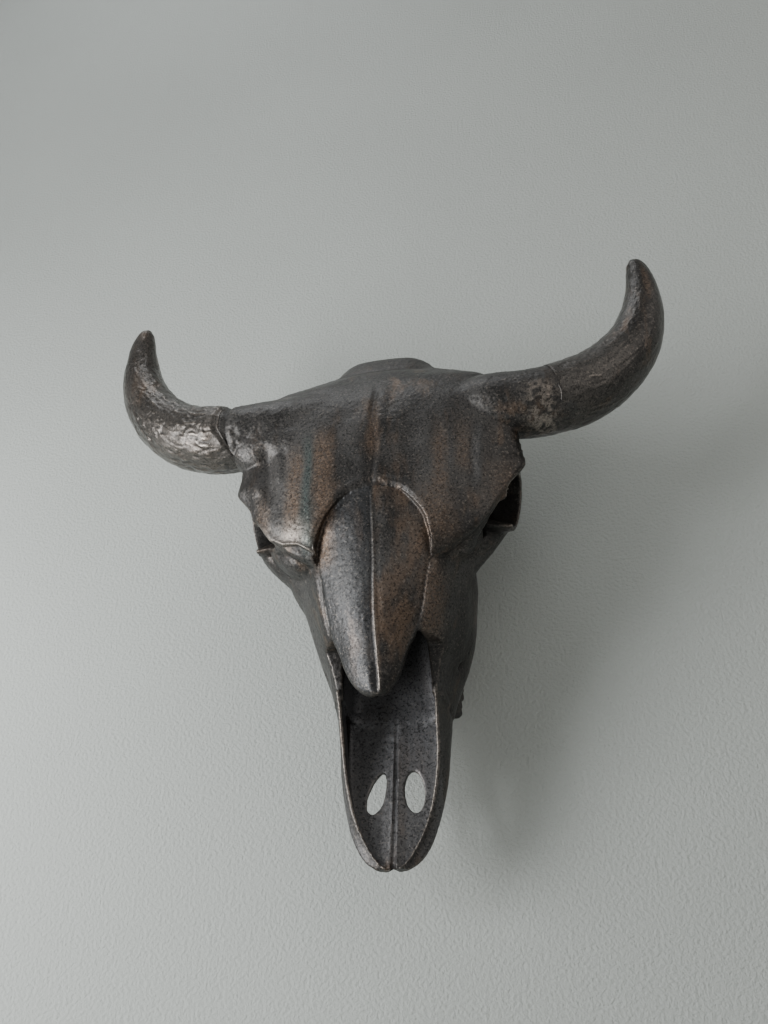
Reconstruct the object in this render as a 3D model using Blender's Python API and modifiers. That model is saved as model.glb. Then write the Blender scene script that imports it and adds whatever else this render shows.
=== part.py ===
"""A life-size cast-metal bison skull that hangs on a wall, nose down.

The skull is modelled lying on a table: X is lateral, -Y is forward to the nose and +Z is up from the palate.
An empty then tips it against the wall, whose plane is Y = 0, with +Z up and the viewer at -Y.
The origin is on the back face of the hanging plate. Lengths are in metres.
"""

import math
from collections import namedtuple

import bmesh
import bpy
import numpy as np
from mathutils import Matrix, Vector

MM = 0.001
GAP = 0.3 * MM

# How the skull hangs: the lean of its palate from the wall, and the wall's depth under the skull's own zero.
LEAN = math.radians(8)
WALL_DEPTH = 5.0 * MM
HANGER_FORWARD = 52 * MM

WALL_POSE = Matrix.Translation((0, WALL_DEPTH, HANGER_FORWARD * math.cos(LEAN))) @ Matrix.Rotation(
    math.pi / 2 - LEAN, 4, "X"
)

# Mesh fineness
AROUND = 44
ALONG = 34
VOXEL = 2.4 * MM
SMOOTH_STEPS = 5
CORE_RATIO = 0.027

Section = namedtuple("Section", "forward crown shoulder_w shoulder_h side_w side_h base_w base_h keel")
Nasal = namedtuple("Nasal", "forward left_w right_w ridge drop")
Trough = namedtuple("Trough", "forward outer_w rim_w rim_h floor_h")
Stretch = namedtuple("Stretch", "x forward height thick tall")

# Cross-sections of the forehead shield, from the nuchal crest to the brow, in millimetres
VAULT = (
    Section(4, 138, 24, 136, 34, 118, 20, 98, 92),
    Section(14, 155, 36, 151, 54, 128, 34, 92, 84),
    Section(34, 163, 42, 158, 63, 136, 46, 92, 82),
    Section(62, 175, 62, 169, 96, 155, 62, 104, 90),
    Section(92, 187, 86, 184, 124, 167, 78, 118, 100),
    Section(125, 192.5, 94, 188, 139, 164, 80, 120, 100),
    Section(152, 192, 98, 184, 145, 158, 78, 122, 104),
    Section(178, 188, 94, 179, 149, 151, 84, 128, 106),
    Section(201, 182, 93, 174, 152, 147, 92, 132, 110),
    Section(215, 178, 90, 171, 142, 147, 88, 132, 111),
    Section(230, 174, 85, 168, 131, 148, 82, 131, 112),
    Section(250, 169, 77, 164, 120, 148, 76, 129, 112),
    Section(270, 163, 67, 159, 106, 146, 68, 125, 110),
    Section(283, 158, 58, 154, 93, 143, 61, 120, 108),
    Section(292, 154, 50, 150, 77, 140, 54, 117, 106),
    Section(299, 149, 38, 146, 60, 136, 44, 114, 104),
)

# Cross-sections of the braincase under it
BRAINCASE = (
    Section(8, 132, 62, 124, 88, 88, 52, 48, 46),
    Section(30, 150, 78, 136, 108, 92, 62, 42, 36),
    Section(58, 150, 82, 136, 106, 92, 56, 40, 34),
    Section(95, 150, 70, 134, 78, 96, 44, 44, 36),
    Section(140, 150, 62, 134, 66, 98, 34, 56, 44),
    Section(185, 150, 56, 134, 58, 100, 34, 62, 52),
    Section(225, 150, 58, 130, 62, 96, 44, 48, 40),
    Section(262, 146, 66, 124, 78, 82, 60, 26, 24),
)

# Cross-sections of the muzzle, from the cheeks to the front of the upper jaw
MUZZLE = (
    Section(225, 150, 50, 138, 74, 92, 56, 22, 30),
    Section(252, 152, 60, 134, 94, 84, 68, 8, 22),
    Section(276, 152, 62, 134, 97, 80, 73, 2, 14),
    Section(300, 148, 60, 131, 88, 66, 73, 0, 12),
    Section(325, 138, 56, 121, 82, 54, 71, 0, 10),
    Section(350, 126, 51, 108, 73, 48, 67, 0, 8),
    Section(375, 113, 47, 84, 62.5, 42, 60, 0, 6),
    Section(395, 90, 46, 68, 58, 34, 54, 2, 3),
    Section(412, 70, 45, 60, 55, 30, 50, 2, 0),
)

# Cross-sections of the nose's hollow, open to the front
NASAL_CAVITY = (
    Section(280, 118, 18, 112, 24, 70, 20, 30, 26),
    Section(320, 128, 28, 116, 35, 66, 28, 25, 20),
    Section(360, 120, 36, 104, 41, 58, 36, 19, 15),
    Section(395, 112, 39, 96, 43, 48, 41, 13, 9.5),
    Section(440, 112, 39, 100, 43, 50, 41, 12, 8),
)

# The two nasal bones as one shield: width on either side, height of the ridge and drop to the free edges
NASALS = (
    Nasal(232, 8, 8, 172, 0.5),
    Nasal(237, 25, 25, 171, 3),
    Nasal(249, 40, 39, 168, 6),
    Nasal(268, 52.5, 51, 163, 9.5),
    Nasal(290, 59.5, 55, 156.5, 18),
    Nasal(323, 55, 47.5, 145, 20),
    Nasal(350, 51, 41.5, 133.5, 21),
    Nasal(366, 46, 34, 126.5, 22),
    Nasal(378, 40.5, 28, 121, 19.5),
    Nasal(394, 34.5, 22.5, 114, 15.5),
    Nasal(410, 26, 16.5, 107.5, 11),
    Nasal(420, 16.5, 9.5, 103, 7),
    Nasal(426, 6, 4, 100.5, 3.5),
)
NOSTRIL_SLOPE = math.radians(23)
NASAL_THICKNESS = 7 * MM
NASAL_STATIONS = 24
NASAL_ROOM = 0.45 * MM

# The premaxillae: outer half width, half width and height of the upper rim, height of the floor
MAXILLA_FRONT = 404
TROUGH = (
    Trough(MAXILLA_FRONT + 0.3, 56, 47, 60, 8),
    Trough(414, 55.3, 46.5, 53.5, 7),
    Trough(435, 53.5, 46, 41, 5),
    Trough(459, 52, 44.5, 30.5, 4),
    Trough(490, 47, 39.5, 21, 3),
    Trough(515, 40.5, 31.5, 15, 2.5),
    Trough(533, 32.5, 22, 11, 2.5),
    Trough(544, 24, 14, 9, 3),
    Trough(550, 15, 7, 8, 4),
)
TROUGH_THICKNESS = 5.5 * MM
FORAMEN_CENTRE = (18.5 * MM, 475 * MM)
FORAMEN_HALF_SIZE = (10 * MM, 21 * MM)
FORAMEN_TURN = math.radians(9)

# The skull as cast isn't quite even: its cheeks stand further out on the left, by this much at each place
CHEEK_SKEW = ((170, 0), (205, 4), (235, 4.5), (252, 7), (272, 7.5), (286, 6), (300, 3), (330, 0))

# The cheek arch and the rear bar of the eye socket, as stretches with an elliptic section
ARCH = (
    Stretch(78, 284, 76, 9, 20),
    Stretch(94, 270, 86, 8.5, 18),
    Stretch(111, 256, 93, 8.5, 15),
    Stretch(123.5, 240, 97, 8, 13),
    Stretch(133, 222, 99, 7, 12),
    Stretch(138, 200, 100, 6.5, 13),
    Stretch(138, 165, 99, 6, 11),
    Stretch(131, 128, 97, 6.5, 10),
    Stretch(118, 96, 97, 9, 11),
    Stretch(96, 74, 98, 12, 14),
)
ORBIT_CUP = (
    Stretch(52, 206, 112, 27, 27),
    Stretch(92, 215, 116, 34, 33),
    Stretch(120, 222, 119, 35, 32),
    Stretch(139, 226, 119, 32, 26.5),
)
BROW_RIM = (
    Stretch(143, 200, 148, 6, 6),
    Stretch(129, 226, 146, 5, 6),
    Stretch(112, 252, 142, 5.5, 7),
    Stretch(96, 270, 133, 6.5, 8),
    Stretch(84, 281, 116, 7, 10),
)
SOCKET = (
    Stretch(176, 236, 127, 30, 27),
    Stretch(142, 228, 123, 28, 25),
    Stretch(115, 221, 120, 26, 23),
    Stretch(90, 215, 116, 19, 18),
    Stretch(74, 211, 113, 9, 9),
)
# The socket's mouth, which is open to the front under the brow's lip
SOCKET_MOUTH = (
    Stretch(178, 250, 131.5, 23, 15.5),
    Stretch(142, 249, 131, 21.5, 14.5),
    Stretch(122, 249, 130.5, 17.5, 11.5),
    Stretch(109, 247, 130, 13.5, 9),
    Stretch(99, 244, 127, 6, 5),
)
LACRIMAL = (
    Stretch(50, 286, 118, 13, 19),
    Stretch(76, 277, 116, 14, 21),
    Stretch(94, 264, 112, 11, 20),
    Stretch(104, 255, 108, 8, 16),
)
ALVEOLAR = (
    Stretch(50, 394, 2, 6, 7),
    Stretch(55, 366, 3, 10.5, 9),
    Stretch(59, 330, 4, 13, 10),
    Stretch(61, 290, 5, 13.5, 11),
    Stretch(61, 256, 7, 13.5, 12),
    Stretch(58, 232, 12, 8, 8),
)
WING = (
    Stretch(30, 266, 30, 4, 20),
    Stretch(29, 240, 34, 3.5, 22),
    Stretch(28, 214, 42, 3.5, 20),
    Stretch(26, 190, 52, 4, 14),
    Stretch(24, 172, 60, 5, 8),
)
NECK_LINE = -3.0

# The horn: its bony core as far as the sheath, then the sheath's own line and radii
CORE = (
    Stretch(84, 118, 152, 30, 26),
    Stretch(104, 121, 158, 35, 33),
    Stretch(126, 124, 161, 37, 36),
    Stretch(155, 127, 161, 36.5, 36),
)
BURR = (
    Stretch(130, 125, 162, 36, 35),
    Stretch(148, 127, 161.5, 36.5, 36),
    Stretch(158, 127, 161, 37, 37),
    Stretch(166, 126.5, 161, 35.5, 35.5),
    Stretch(178, 124, 160.5, 34.5, 34.5),
    Stretch(190, 121, 159, 35.5, 35.5),
    Stretch(200, 117, 158, 36, 36),
)
HORN = (
    Stretch(160, 127, 161, 36.5, 36.5),
    Stretch(176, 125, 160, 39, 38.5),
    Stretch(200, 117, 157, 38.5, 38),
    Stretch(232, 99, 154, 36.5, 36.5),
    Stretch(262, 71, 156, 33, 33),
    Stretch(283, 38, 162, 28.5, 28.5),
    Stretch(293, 5, 171, 23, 23),
    Stretch(295, -22, 181, 17.5, 17.5),
    Stretch(293, -40, 188, 13, 13),
    Stretch(290, -49, 192, 8.5, 8.5),
    Stretch(288, -53, 194, 3, 3),
)
HORN_SIDES = 20
BURR_LINE = 140
# Where each sheath begins, by side: the right one sits further out
SHEATH_LINES = {1: 184, -1: 166}
# The level where the forehead's shield parts from the braincase under it
FRONTAL_LINE = 118
# The suture between the cranium and the face, leaning forward as it rises
FACE_TILT = math.radians(20)

# Six cheek teeth on each side, front to back, in millimetres
TOOTH_LENGTHS = (17, 20, 21, 26, 30, 32)
TOOTH_FRONT = 386
TOOTH_X = (53, 63)
TOOTH_HALF_WIDTHS = (8.5, 13)
TOOTH_TOP = NECK_LINE - 0.3
TOOTH_BOTTOM = -24.0

# The hanging plate and the lug that carries it, in the wall's frame
PLATE_SIZE = (26 * MM, 3 * MM, 64 * MM)
PLATE_CORNER = 4 * MM
PLATE_CENTRE_Z = 4 * MM
KEYHOLE_Z = 10 * MM
KEYHOLE_RADIUS = 5.2 * MM
SLOT_RADIUS = 2.7 * MM
SLOT_RISE = 11 * MM
SCREW_Z = (30 * MM, -22 * MM)
SCREW_RADIUS = 4 * MM
SCREW_HEIGHT = 2.2 * MM
LUG_SIZE = (40 * MM, 52 * MM, 72 * MM)
POCKET_SIZE = (14 * MM, 12 * MM, 28 * MM)

PALETTE = {
    "dark_bronze": ((0.045, 0.038, 0.034), 0.42, 0.9),
    "nasal_bronze": ((0.11, 0.095, 0.085), 0.38, 0.9),
    "horn_bronze": ((0.06, 0.05, 0.043), 0.4, 0.9),
    "steel": ((0.42, 0.42, 0.43), 0.35, 1.0),
}


def spot(x, forward, height):
    """A point of the skull given as lateral, forward and up distances in millimetres."""
    return Vector((x * MM, -forward * MM, height * MM))


def eased(stations, values, at):
    """Smooth value between stations, with no overshoot (a monotone cubic)."""
    stations = np.asarray(stations, float)
    values = np.asarray(values, float)
    steps = np.diff(stations)
    slopes = np.diff(values) / steps
    tangents = np.zeros(len(values))
    tangents[0], tangents[-1] = slopes[0], slopes[-1]
    for i in range(1, len(values) - 1):
        if slopes[i - 1] * slopes[i] > 0:
            w1 = 2 * steps[i] + steps[i - 1]
            w2 = steps[i] + 2 * steps[i - 1]
            tangents[i] = (w1 + w2) / (w1 / slopes[i - 1] + w2 / slopes[i])
    i = int(np.clip(np.searchsorted(stations, at) - 1, 0, len(steps) - 1))
    t = (at - stations[i]) / steps[i]
    return (
        (2 * t**3 - 3 * t**2 + 1) * values[i]
        + (t**3 - 2 * t**2 + t) * steps[i] * tangents[i]
        + (3 * t**2 - 2 * t**3) * values[i + 1]
        + (t**3 - t**2) * steps[i] * tangents[i + 1]
    )


def sampled(rows, count):
    """The table's rows read at count evenly spaced places along its first column."""
    columns = list(zip(*rows))
    kind = type(rows[0])
    return [
        kind(at, *(eased(columns[0], column, at) for column in columns[1:]))
        for at in np.linspace(columns[0][0], columns[0][-1], count)
    ]


def sampled_by_length(rows, count):
    """The table's rows read at count places evenly spaced along its path, smooth between them."""
    points = np.array([row[:3] for row in rows], float)
    lengths = np.concatenate([[0], np.cumsum(np.linalg.norm(np.diff(points, axis=0), axis=1))])
    columns = list(zip(*rows))
    kind = type(rows[0])
    return [kind(*(eased(lengths, column, at) for column in columns)) for at in np.linspace(0, lengths[-1], count)]


def through(points, per_span):
    """A closed smooth curve through the points, as (x, height) pairs."""
    curve = []
    count = len(points)
    for i in range(count):
        before, here, after, beyond = (np.array(points[(i + k) % count], float) for k in (-1, 0, 1, 2))
        for step in range(per_span):
            t = step / per_span
            curve.append(
                0.5
                * (
                    2 * here
                    + (after - before) * t
                    + (2 * before - 5 * here + 4 * after - beyond) * t**2
                    + (3 * here - before - 3 * after + beyond) * t**3
                )
            )
    return curve


def mesh_object(name, bm, collection):
    """A new object holding the bmesh, with its faces pointing out."""
    bmesh.ops.recalc_face_normals(bm, faces=bm.faces)
    mesh = bpy.data.meshes.new(name)
    bm.to_mesh(mesh)
    bm.free()
    obj = bpy.data.objects.new(name, mesh)
    collection.objects.link(obj)
    return obj


def loft(name, rings, collection):
    """A closed body through the rings, which all have the same number of points."""
    bm = bmesh.new()
    made = [[bm.verts.new(point) for point in ring] for ring in rings]
    for ring, following in zip(made, made[1:]):
        for i in range(len(ring)):
            k = (i + 1) % len(ring)
            bm.faces.new((ring[i], ring[k], following[k], following[i]))
    bm.faces.new(made[0])
    bm.faces.new(made[-1])
    return mesh_object(name, bm, collection)


def cheek_skew(forward):
    """How far the cheeks stand to the left of their mirrored places, in millimetres."""
    stations, offsets = zip(*CHEEK_SKEW)
    return eased(stations, offsets, min(max(forward, stations[0]), stations[-1]))


def section_body(name, rows, collection, skewed=False):
    """A body lofted through skull cross-sections, whose sides may follow the face's skew."""
    rings = []
    for row in sampled(rows, ALONG):
        skew = cheek_skew(row.forward) if skewed else 0
        right = [
            (row.shoulder_w, row.shoulder_h),
            (row.side_w - skew, row.side_h),
            (row.base_w, row.base_h),
        ]
        left = [
            (-row.base_w, row.base_h),
            (-row.side_w - skew, row.side_h),
            (-row.shoulder_w, row.shoulder_h),
        ]
        outline = [(0, row.crown), *right, (0, row.keel), *left]
        per_span = AROUND // len(outline)
        rings.append([spot(x, row.forward, height) for x, height in through(outline, per_span)])
    return loft(name, rings, collection)


def stretch_body(name, rows, collection, side=1, sides=16, count=26, skewed=False):
    """A bent bar or horn with an elliptic section, thick across and tall along the skull's height."""
    stations = sampled_by_length(rows, count)
    skews = [cheek_skew(row.forward) if skewed else 0 for row in stations]
    centres = [spot(side * row.x - skew, row.forward, row.height) for row, skew in zip(stations, skews)]
    rings = []
    for i, (centre, row) in enumerate(zip(centres, stations)):
        along = (centres[min(i + 1, count - 1)] - centres[max(i - 1, 0)]).normalized()
        across = along.cross(Vector((0, 0, 1))).normalized()
        upward = across.cross(along)
        ring = []
        for k in range(sides):
            turn = 2 * math.pi * k / sides
            ring.append(
                centre + across * (row.thick * MM * math.cos(turn)) + upward * (row.tall * MM * math.sin(turn))
            )
        rings.append(ring)
    return loft(name, rings, collection)


def ball(name, centre, radii, collection, tilt=0.0):
    """An ellipsoid, tilted about the lateral axis."""
    bm = bmesh.new()
    bmesh.ops.create_uvsphere(bm, u_segments=20, v_segments=12, radius=1)
    place = Matrix.Translation(centre) @ Matrix.Rotation(tilt, 4, "X")
    bmesh.ops.transform(bm, matrix=place @ Matrix.Diagonal((*radii, 1)), verts=bm.verts)
    return mesh_object(name, bm, collection)


def box(name, low, high, collection):
    """An upright box between two corners."""
    bm = bmesh.new()
    bmesh.ops.create_cube(bm, size=1)
    size = Vector(high) - Vector(low)
    centre = (Vector(high) + Vector(low)) / 2
    bmesh.ops.transform(bm, matrix=Matrix.Translation(centre) @ Matrix.Diagonal((*size, 1)), verts=bm.verts)
    return mesh_object(name, bm, collection)


def prism(name, outline, low, high, collection):
    """The flat outline, as (x, y) pairs, standing from low to high."""
    return loft(name, [[Vector((x, y, z)) for x, y in outline] for z in (low, high)], collection)


def apply_modifiers(obj):
    """Replaces the object's mesh by its evaluated one."""
    graph = bpy.context.evaluated_depsgraph_get()
    mesh = bpy.data.meshes.new_from_object(obj.evaluated_get(graph))
    obj.modifiers.clear()
    obj.data = mesh


def boolean(obj, operation, others, solver="EXACT"):
    """Joins, cuts or crosses the object with every object of a collection, which is then emptied."""
    modifier = obj.modifiers.new(operation.lower(), "BOOLEAN")
    modifier.operation = operation
    modifier.operand_type = "COLLECTION"
    modifier.collection = others
    modifier.solver = solver
    apply_modifiers(obj)
    for other in list(others.objects):
        bpy.data.objects.remove(other)


def grown_copy(obj, by, collection):
    """A copy of the object with its faces moved out, to cut a seat with a gap round it."""
    copy = obj.copy()
    copy.data = obj.data.copy()
    collection.objects.link(copy)
    bm = bmesh.new()
    bm.from_mesh(copy.data)
    bm.normal_update()
    moves = [(vertex, vertex.normal * by * vertex.calc_shell_factor()) for vertex in bm.verts]
    for vertex, move in moves:
        vertex.co += move
    bm.to_mesh(copy.data)
    bm.free()
    return copy


def surfaces(bm):
    """The sets of face numbers that hang together across edges of two faces, largest first."""
    bm.faces.ensure_lookup_table()
    bm.faces.index_update()
    unseen = set(range(len(bm.faces)))
    groups = []
    while unseen:
        seed = unseen.pop()
        group = {seed}
        front = [seed]
        while front:
            for edge in bm.faces[front.pop()].edges:
                for face in edge.link_faces if len(edge.link_faces) == 2 else ():
                    if face.index in unseen:
                        unseen.discard(face.index)
                        group.add(face.index)
                        front.append(face.index)
        groups.append(group)
    return sorted(groups, key=lambda group: (-len(group), min(group)))


def keep_faces(bm, kept):
    """Deletes every face outside the kept set, and what hung on them."""
    spare = [face for face in bm.faces if face.index not in kept]
    bmesh.ops.delete(bm, geom=spare, context="FACES")
    loose = [vertex for vertex in bm.verts if not vertex.link_faces]
    bmesh.ops.delete(bm, geom=loose, context="VERTS")


def keep_largest(obj):
    """Drops every closed surface of the mesh but the largest."""
    bm = bmesh.new()
    bm.from_mesh(obj.data)
    keep_faces(bm, surfaces(bm)[0])
    bm.to_mesh(obj.data)
    bm.free()


def finish(obj, colour, angle=40):
    """Gives a finished node its metal and smooth shading."""
    base, roughness, metallic = PALETTE[colour]
    material = bpy.data.materials.get(colour)
    if material is None:
        material = bpy.data.materials.new(colour)
        material.use_nodes = True
        shader = material.node_tree.nodes["Principled BSDF"]
        shader.inputs["Base Color"].default_value = (*base, 1)
        shader.inputs["Roughness"].default_value = roughness
        shader.inputs["Metallic"].default_value = metallic
    obj.data.materials.clear()
    obj.data.materials.append(material)
    obj.data.shade_smooth()
    obj.data.set_sharp_from_angle(angle=math.radians(angle))


def skull_mass(collection, tools):
    """The skull's fused bony mass, before it is divided: shield, braincase, muzzle, arches and horn cores."""
    mass = section_body("skull_mass", VAULT, collection)
    section_body("braincase", BRAINCASE, tools)
    section_body("muzzle", MUZZLE, tools, skewed=True)
    for side in (1, -1):
        stretch_body("arch", ARCH, tools, side, skewed=True)
        stretch_body("orbit_cup", ORBIT_CUP, tools, side, sides=24, count=12)
        stretch_body("brow_rim", BROW_RIM, tools, side, count=16)
        stretch_body("lacrimal", LACRIMAL, tools, side, count=12, skewed=True)
        stretch_body("core", CORE, tools, side, sides=24, count=12)
        stretch_body("alveolar_ridge", ALVEOLAR, tools, side, count=16)
        ball("condyle", spot(side * 30, 6, 50), (22 * MM, 20 * MM, 25 * MM), tools, tilt=0.3)
        ball("jugular", spot(side * 66, 44, 30), (13 * MM, 15 * MM, 27 * MM), tools, tilt=-0.15)
        ball("ear_dome", spot(side * 46, 92, 40), (17 * MM, 22 * MM, 18 * MM), tools)
        stretch_body("wing", WING, tools, side, count=14)
    boolean(mass, "UNION", tools)
    for side in (1, -1):
        stretch_body("socket", SOCKET, tools, side, sides=24, count=16)
        stretch_body("socket_mouth", SOCKET_MOUTH, tools, side, sides=24, count=14)
    section_body("nasal_cavity", NASAL_CAVITY, tools)
    ball("foramen_magnum", spot(0, 2, 66), (18 * MM, 40 * MM, 17 * MM), tools)
    ball("choana", spot(0, 214, 34), (20 * MM, 44 * MM, 30 * MM), tools)
    box("nostril_side", spot(-70, 450, 80), spot(70, 362, 170), tools)
    slab("nostril_edge", (-70, 450, 78), (70, 362, 140), tools, tilt=NOSTRIL_SLOPE, pivot=(0, 362, 78))
    boolean(mass, "DIFFERENCE", tools)
    remesh = mass.modifiers.new("voxels", "REMESH")
    remesh.mode = "VOXEL"
    remesh.voxel_size = VOXEL
    smooth = mass.modifiers.new("soften", "SMOOTH")
    smooth.factor = 0.5
    smooth.iterations = SMOOTH_STEPS
    thin = mass.modifiers.new("thin_out", "DECIMATE")
    thin.ratio = CORE_RATIO
    thin.use_symmetry = True
    thin.symmetry_axis = "X"
    apply_modifiers(mass)
    keep_largest(mass)
    return mass


def nasal_shield(name, collection, side):
    """One nasal bone: a curved half shield with its inner edge on the midline."""
    across = 10
    split = GAP / 2
    rings = []
    for row in sampled(NASALS, NASAL_STATIONS):
        width = row.left_w if side < 0 else row.right_w
        half = width * MM
        upper = []
        for k in range(across + 1):
            share = k / across
            x = split + share * (half - split)
            bulge = 2.6 * math.sin(math.pi * min(share * 1.15, 1)) * width / 57
            height = (row.ridge - row.drop * share**2.1 + bulge) * MM
            upper.append(Vector((side * x, -row.forward * MM, height)))
        lower = [point - Vector((0, 0, NASAL_THICKNESS)) for point in reversed(upper)]
        rings.append(upper + lower)
    return loft(name, rings, collection)


def trough_half(name, collection, side):
    """One premaxilla: a half trough with a raised rim, its floor meeting the other half on the midline."""
    split = GAP / 2
    rings = []
    thick = TROUGH_THICKNESS / MM
    for row in sampled(TROUGH, 26):
        inner = max(row.rim_w - 1.5, 1.2)
        floor_in = max(row.outer_w - thick - 3.5, 0.9)
        low = row.floor_h - thick
        outline = [
            (split / MM, row.floor_h + 2.4),
            (min(3.5, floor_in * 0.5), row.floor_h + 2.0),
            (min(6.5, floor_in * 0.7), row.floor_h),
            (floor_in, row.floor_h + 0.6),
            ((floor_in + inner) / 2 + 0.6, (row.floor_h + row.rim_h) / 2),
            (inner, row.rim_h - 0.8),
            (row.rim_w, row.rim_h),
            (row.rim_w + 2.4, row.rim_h - 1.4),
            (row.outer_w, row.floor_h + 0.35 * (row.rim_h - row.floor_h)),
            (row.outer_w - 0.8, low + 3.4),
            (row.outer_w - 4.5, low + 0.6),
            (max(floor_in * 0.5, 0.7), low),
            (split / MM, low),
        ]
        rings.append([spot(side * x, row.forward, height) for x, height in outline])
    half = loft(name, rings, collection)
    return half


def foramen_cutter(collection, side):
    """The oval opening through the floor of a premaxilla, a slanted ellipse."""
    x0, forward = FORAMEN_CENTRE
    a, b = FORAMEN_HALF_SIZE
    outline = []
    for k in range(20):
        turn = 2 * math.pi * k / 20
        x, y = a * math.cos(turn), b * math.sin(turn)
        outline.append(
            (
                side * (x0 + x * math.cos(FORAMEN_TURN) - y * math.sin(FORAMEN_TURN)),
                -forward + x * math.sin(FORAMEN_TURN) + y * math.cos(FORAMEN_TURN),
            )
        )
    return prism("foramen", outline, -30 * MM, 30 * MM, collection)


def tooth_row(name, collection, tools, side):
    """Six cheek teeth with two lobes each, fused at their necks."""
    bar = None
    back = TOOTH_FRONT
    span = sum(TOOTH_LENGTHS)
    for length in TOOTH_LENGTHS:
        front, back = back, back - length
        share = (TOOTH_FRONT - (front + back) / 2) / span
        centre_x = TOOTH_X[0] + share * (TOOTH_X[1] - TOOTH_X[0])
        half = TOOTH_HALF_WIDTHS[0] + share * (TOOTH_HALF_WIDTHS[1] - TOOTH_HALF_WIDTHS[0])
        for lobe in (0.27, 0.73):
            forward = front - lobe * length
            reach = 0.3 * length
            outline = []
            for k in range(8):
                turn = 2 * math.pi * (k + 0.5) / 8
                outline.append((side * centre_x + half * math.cos(turn), -forward + reach * math.sin(turn)))
            rings = []
            for height, swell in ((TOOTH_TOP, 1.0), (-13.0, 1.0), (TOOTH_BOTTOM + 4, 0.96), (TOOTH_BOTTOM, 0.78)):
                rings.append(
                    [
                        Vector(
                            (
                                (side * centre_x + (x - side * centre_x) * swell) * MM,
                                (-forward + (y + forward) * swell) * MM,
                                height * MM,
                            )
                        )
                        for x, y in outline
                    ]
                )
            piece = loft(name if bar is None else "lobe", rings, collection if bar is None else tools)
            bar = bar or piece
    boolean(bar, "UNION", tools)
    keep_largest(bar)
    return bar


def slab(name, corner_a, corner_b, collection, tilt=0.0, pivot=(0, 0, 0)):
    """A box region in skull distances, turned about the lateral axis through pivot."""
    low = [min(a, b) for a, b in zip(spot(*corner_a), spot(*corner_b))]
    high = [max(a, b) for a, b in zip(spot(*corner_a), spot(*corner_b))]
    obj = box(name, low, high, collection)
    centre = spot(*pivot)
    turn = Matrix.Translation(centre) @ Matrix.Rotation(tilt, 4, "X") @ Matrix.Translation(-centre)
    obj.data.transform(turn)
    return obj


def keyhole_outline(radius, slot, rise):
    """A circle with a narrower slot above it, as (x, z) pairs."""
    meet = math.asin(slot / radius)
    outline = []
    for k in range(21):
        turn = math.pi / 2 + meet + (2 * math.pi - 2 * meet) * k / 20
        outline.append((radius * math.cos(turn), radius * math.sin(turn)))
    for k in range(9):
        turn = math.pi * k / 8
        outline.append((slot * math.cos(turn), rise + slot * math.sin(turn)))
    return outline


def upright_prism(name, outline, centre_z, near, far, collection):
    """A flat outline in the wall's plane, as (x, z) pairs, reaching from near to far in depth."""
    rings = [[Vector((x, y, centre_z + z)) for x, z in outline] for y in (near, far)]
    return loft(name, rings, collection)


def rounded_rectangle(width, height, corner):
    """The outline of a plate with round corners, as (x, z) pairs."""
    outline = []
    for quadrant in range(4):
        sx, sz = ((1, 1), (-1, 1), (-1, -1), (1, -1))[quadrant]
        for k in range(5):
            turn = math.pi / 2 * (quadrant + k / 4)
            outline.append(
                (
                    sx * (width / 2 - corner) + corner * math.cos(turn),
                    sz * (height / 2 - corner) + corner * math.sin(turn),
                )
            )
    return outline


def hanger(collection, tools):
    """The lug behind the skull, the keyhole plate on it and its two screws, in the wall's frame."""
    width, thickness, height = PLATE_SIZE
    plate = upright_prism(
        "hanger_plate", rounded_rectangle(width, height, PLATE_CORNER), PLATE_CENTRE_Z, -thickness, 0, collection
    )
    keyhole = keyhole_outline(KEYHOLE_RADIUS, SLOT_RADIUS, SLOT_RISE)
    upright_prism("keyhole", keyhole, KEYHOLE_Z, -2 * thickness, thickness, tools)
    screws = []
    for place, z in zip(("upper", "lower"), SCREW_Z):
        ring = [
            (math.cos(2 * math.pi * k / 24), math.sin(2 * math.pi * k / 24)) for k in range(24)
        ]
        seat = [(x * (SCREW_RADIUS + GAP), y * (SCREW_RADIUS + GAP)) for x, y in ring]
        upright_prism("screw_seat", seat, z, -2 * thickness, thickness, tools)
        head = [(x * SCREW_RADIUS, y * SCREW_RADIUS) for x, y in ring]
        screw = upright_prism(
            f"hanger_screw_{place}", head, z, -thickness, -thickness + SCREW_HEIGHT, collection
        )
        screws.append(screw)
    boolean(plate, "DIFFERENCE", tools)
    for screw, z in zip(screws, SCREW_Z):
        slot = box(
            "driver_slot",
            (-SCREW_RADIUS * 1.5, -thickness + SCREW_HEIGHT - 1.0 * MM, z - 0.5 * MM),
            (SCREW_RADIUS * 1.5, thickness, z + 0.5 * MM),
            tools,
        )
        slot.data.transform(Matrix.Translation((0, 0, z)) @ Matrix.Rotation(0.6, 4, "Y") @ Matrix.Translation((0, 0, -z)))
        boolean(screw, "DIFFERENCE", tools)

    lug_width, lug_depth, lug_height = LUG_SIZE
    face = -thickness - GAP
    lug = upright_prism(
        "hanger_lug", rounded_rectangle(lug_width, lug_height, 8 * MM), PLATE_CENTRE_Z, face - lug_depth, face, collection
    )
    pocket_width, pocket_depth, pocket_height = POCKET_SIZE
    centre_z = KEYHOLE_Z + SLOT_RISE / 2
    box(
        "pocket",
        (-pocket_width / 2, face - pocket_depth, centre_z - pocket_height / 2),
        (pocket_width / 2, 0, centre_z + pocket_height / 2),
        tools,
    )
    boolean(lug, "DIFFERENCE", tools)
    return plate, lug, screws


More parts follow.
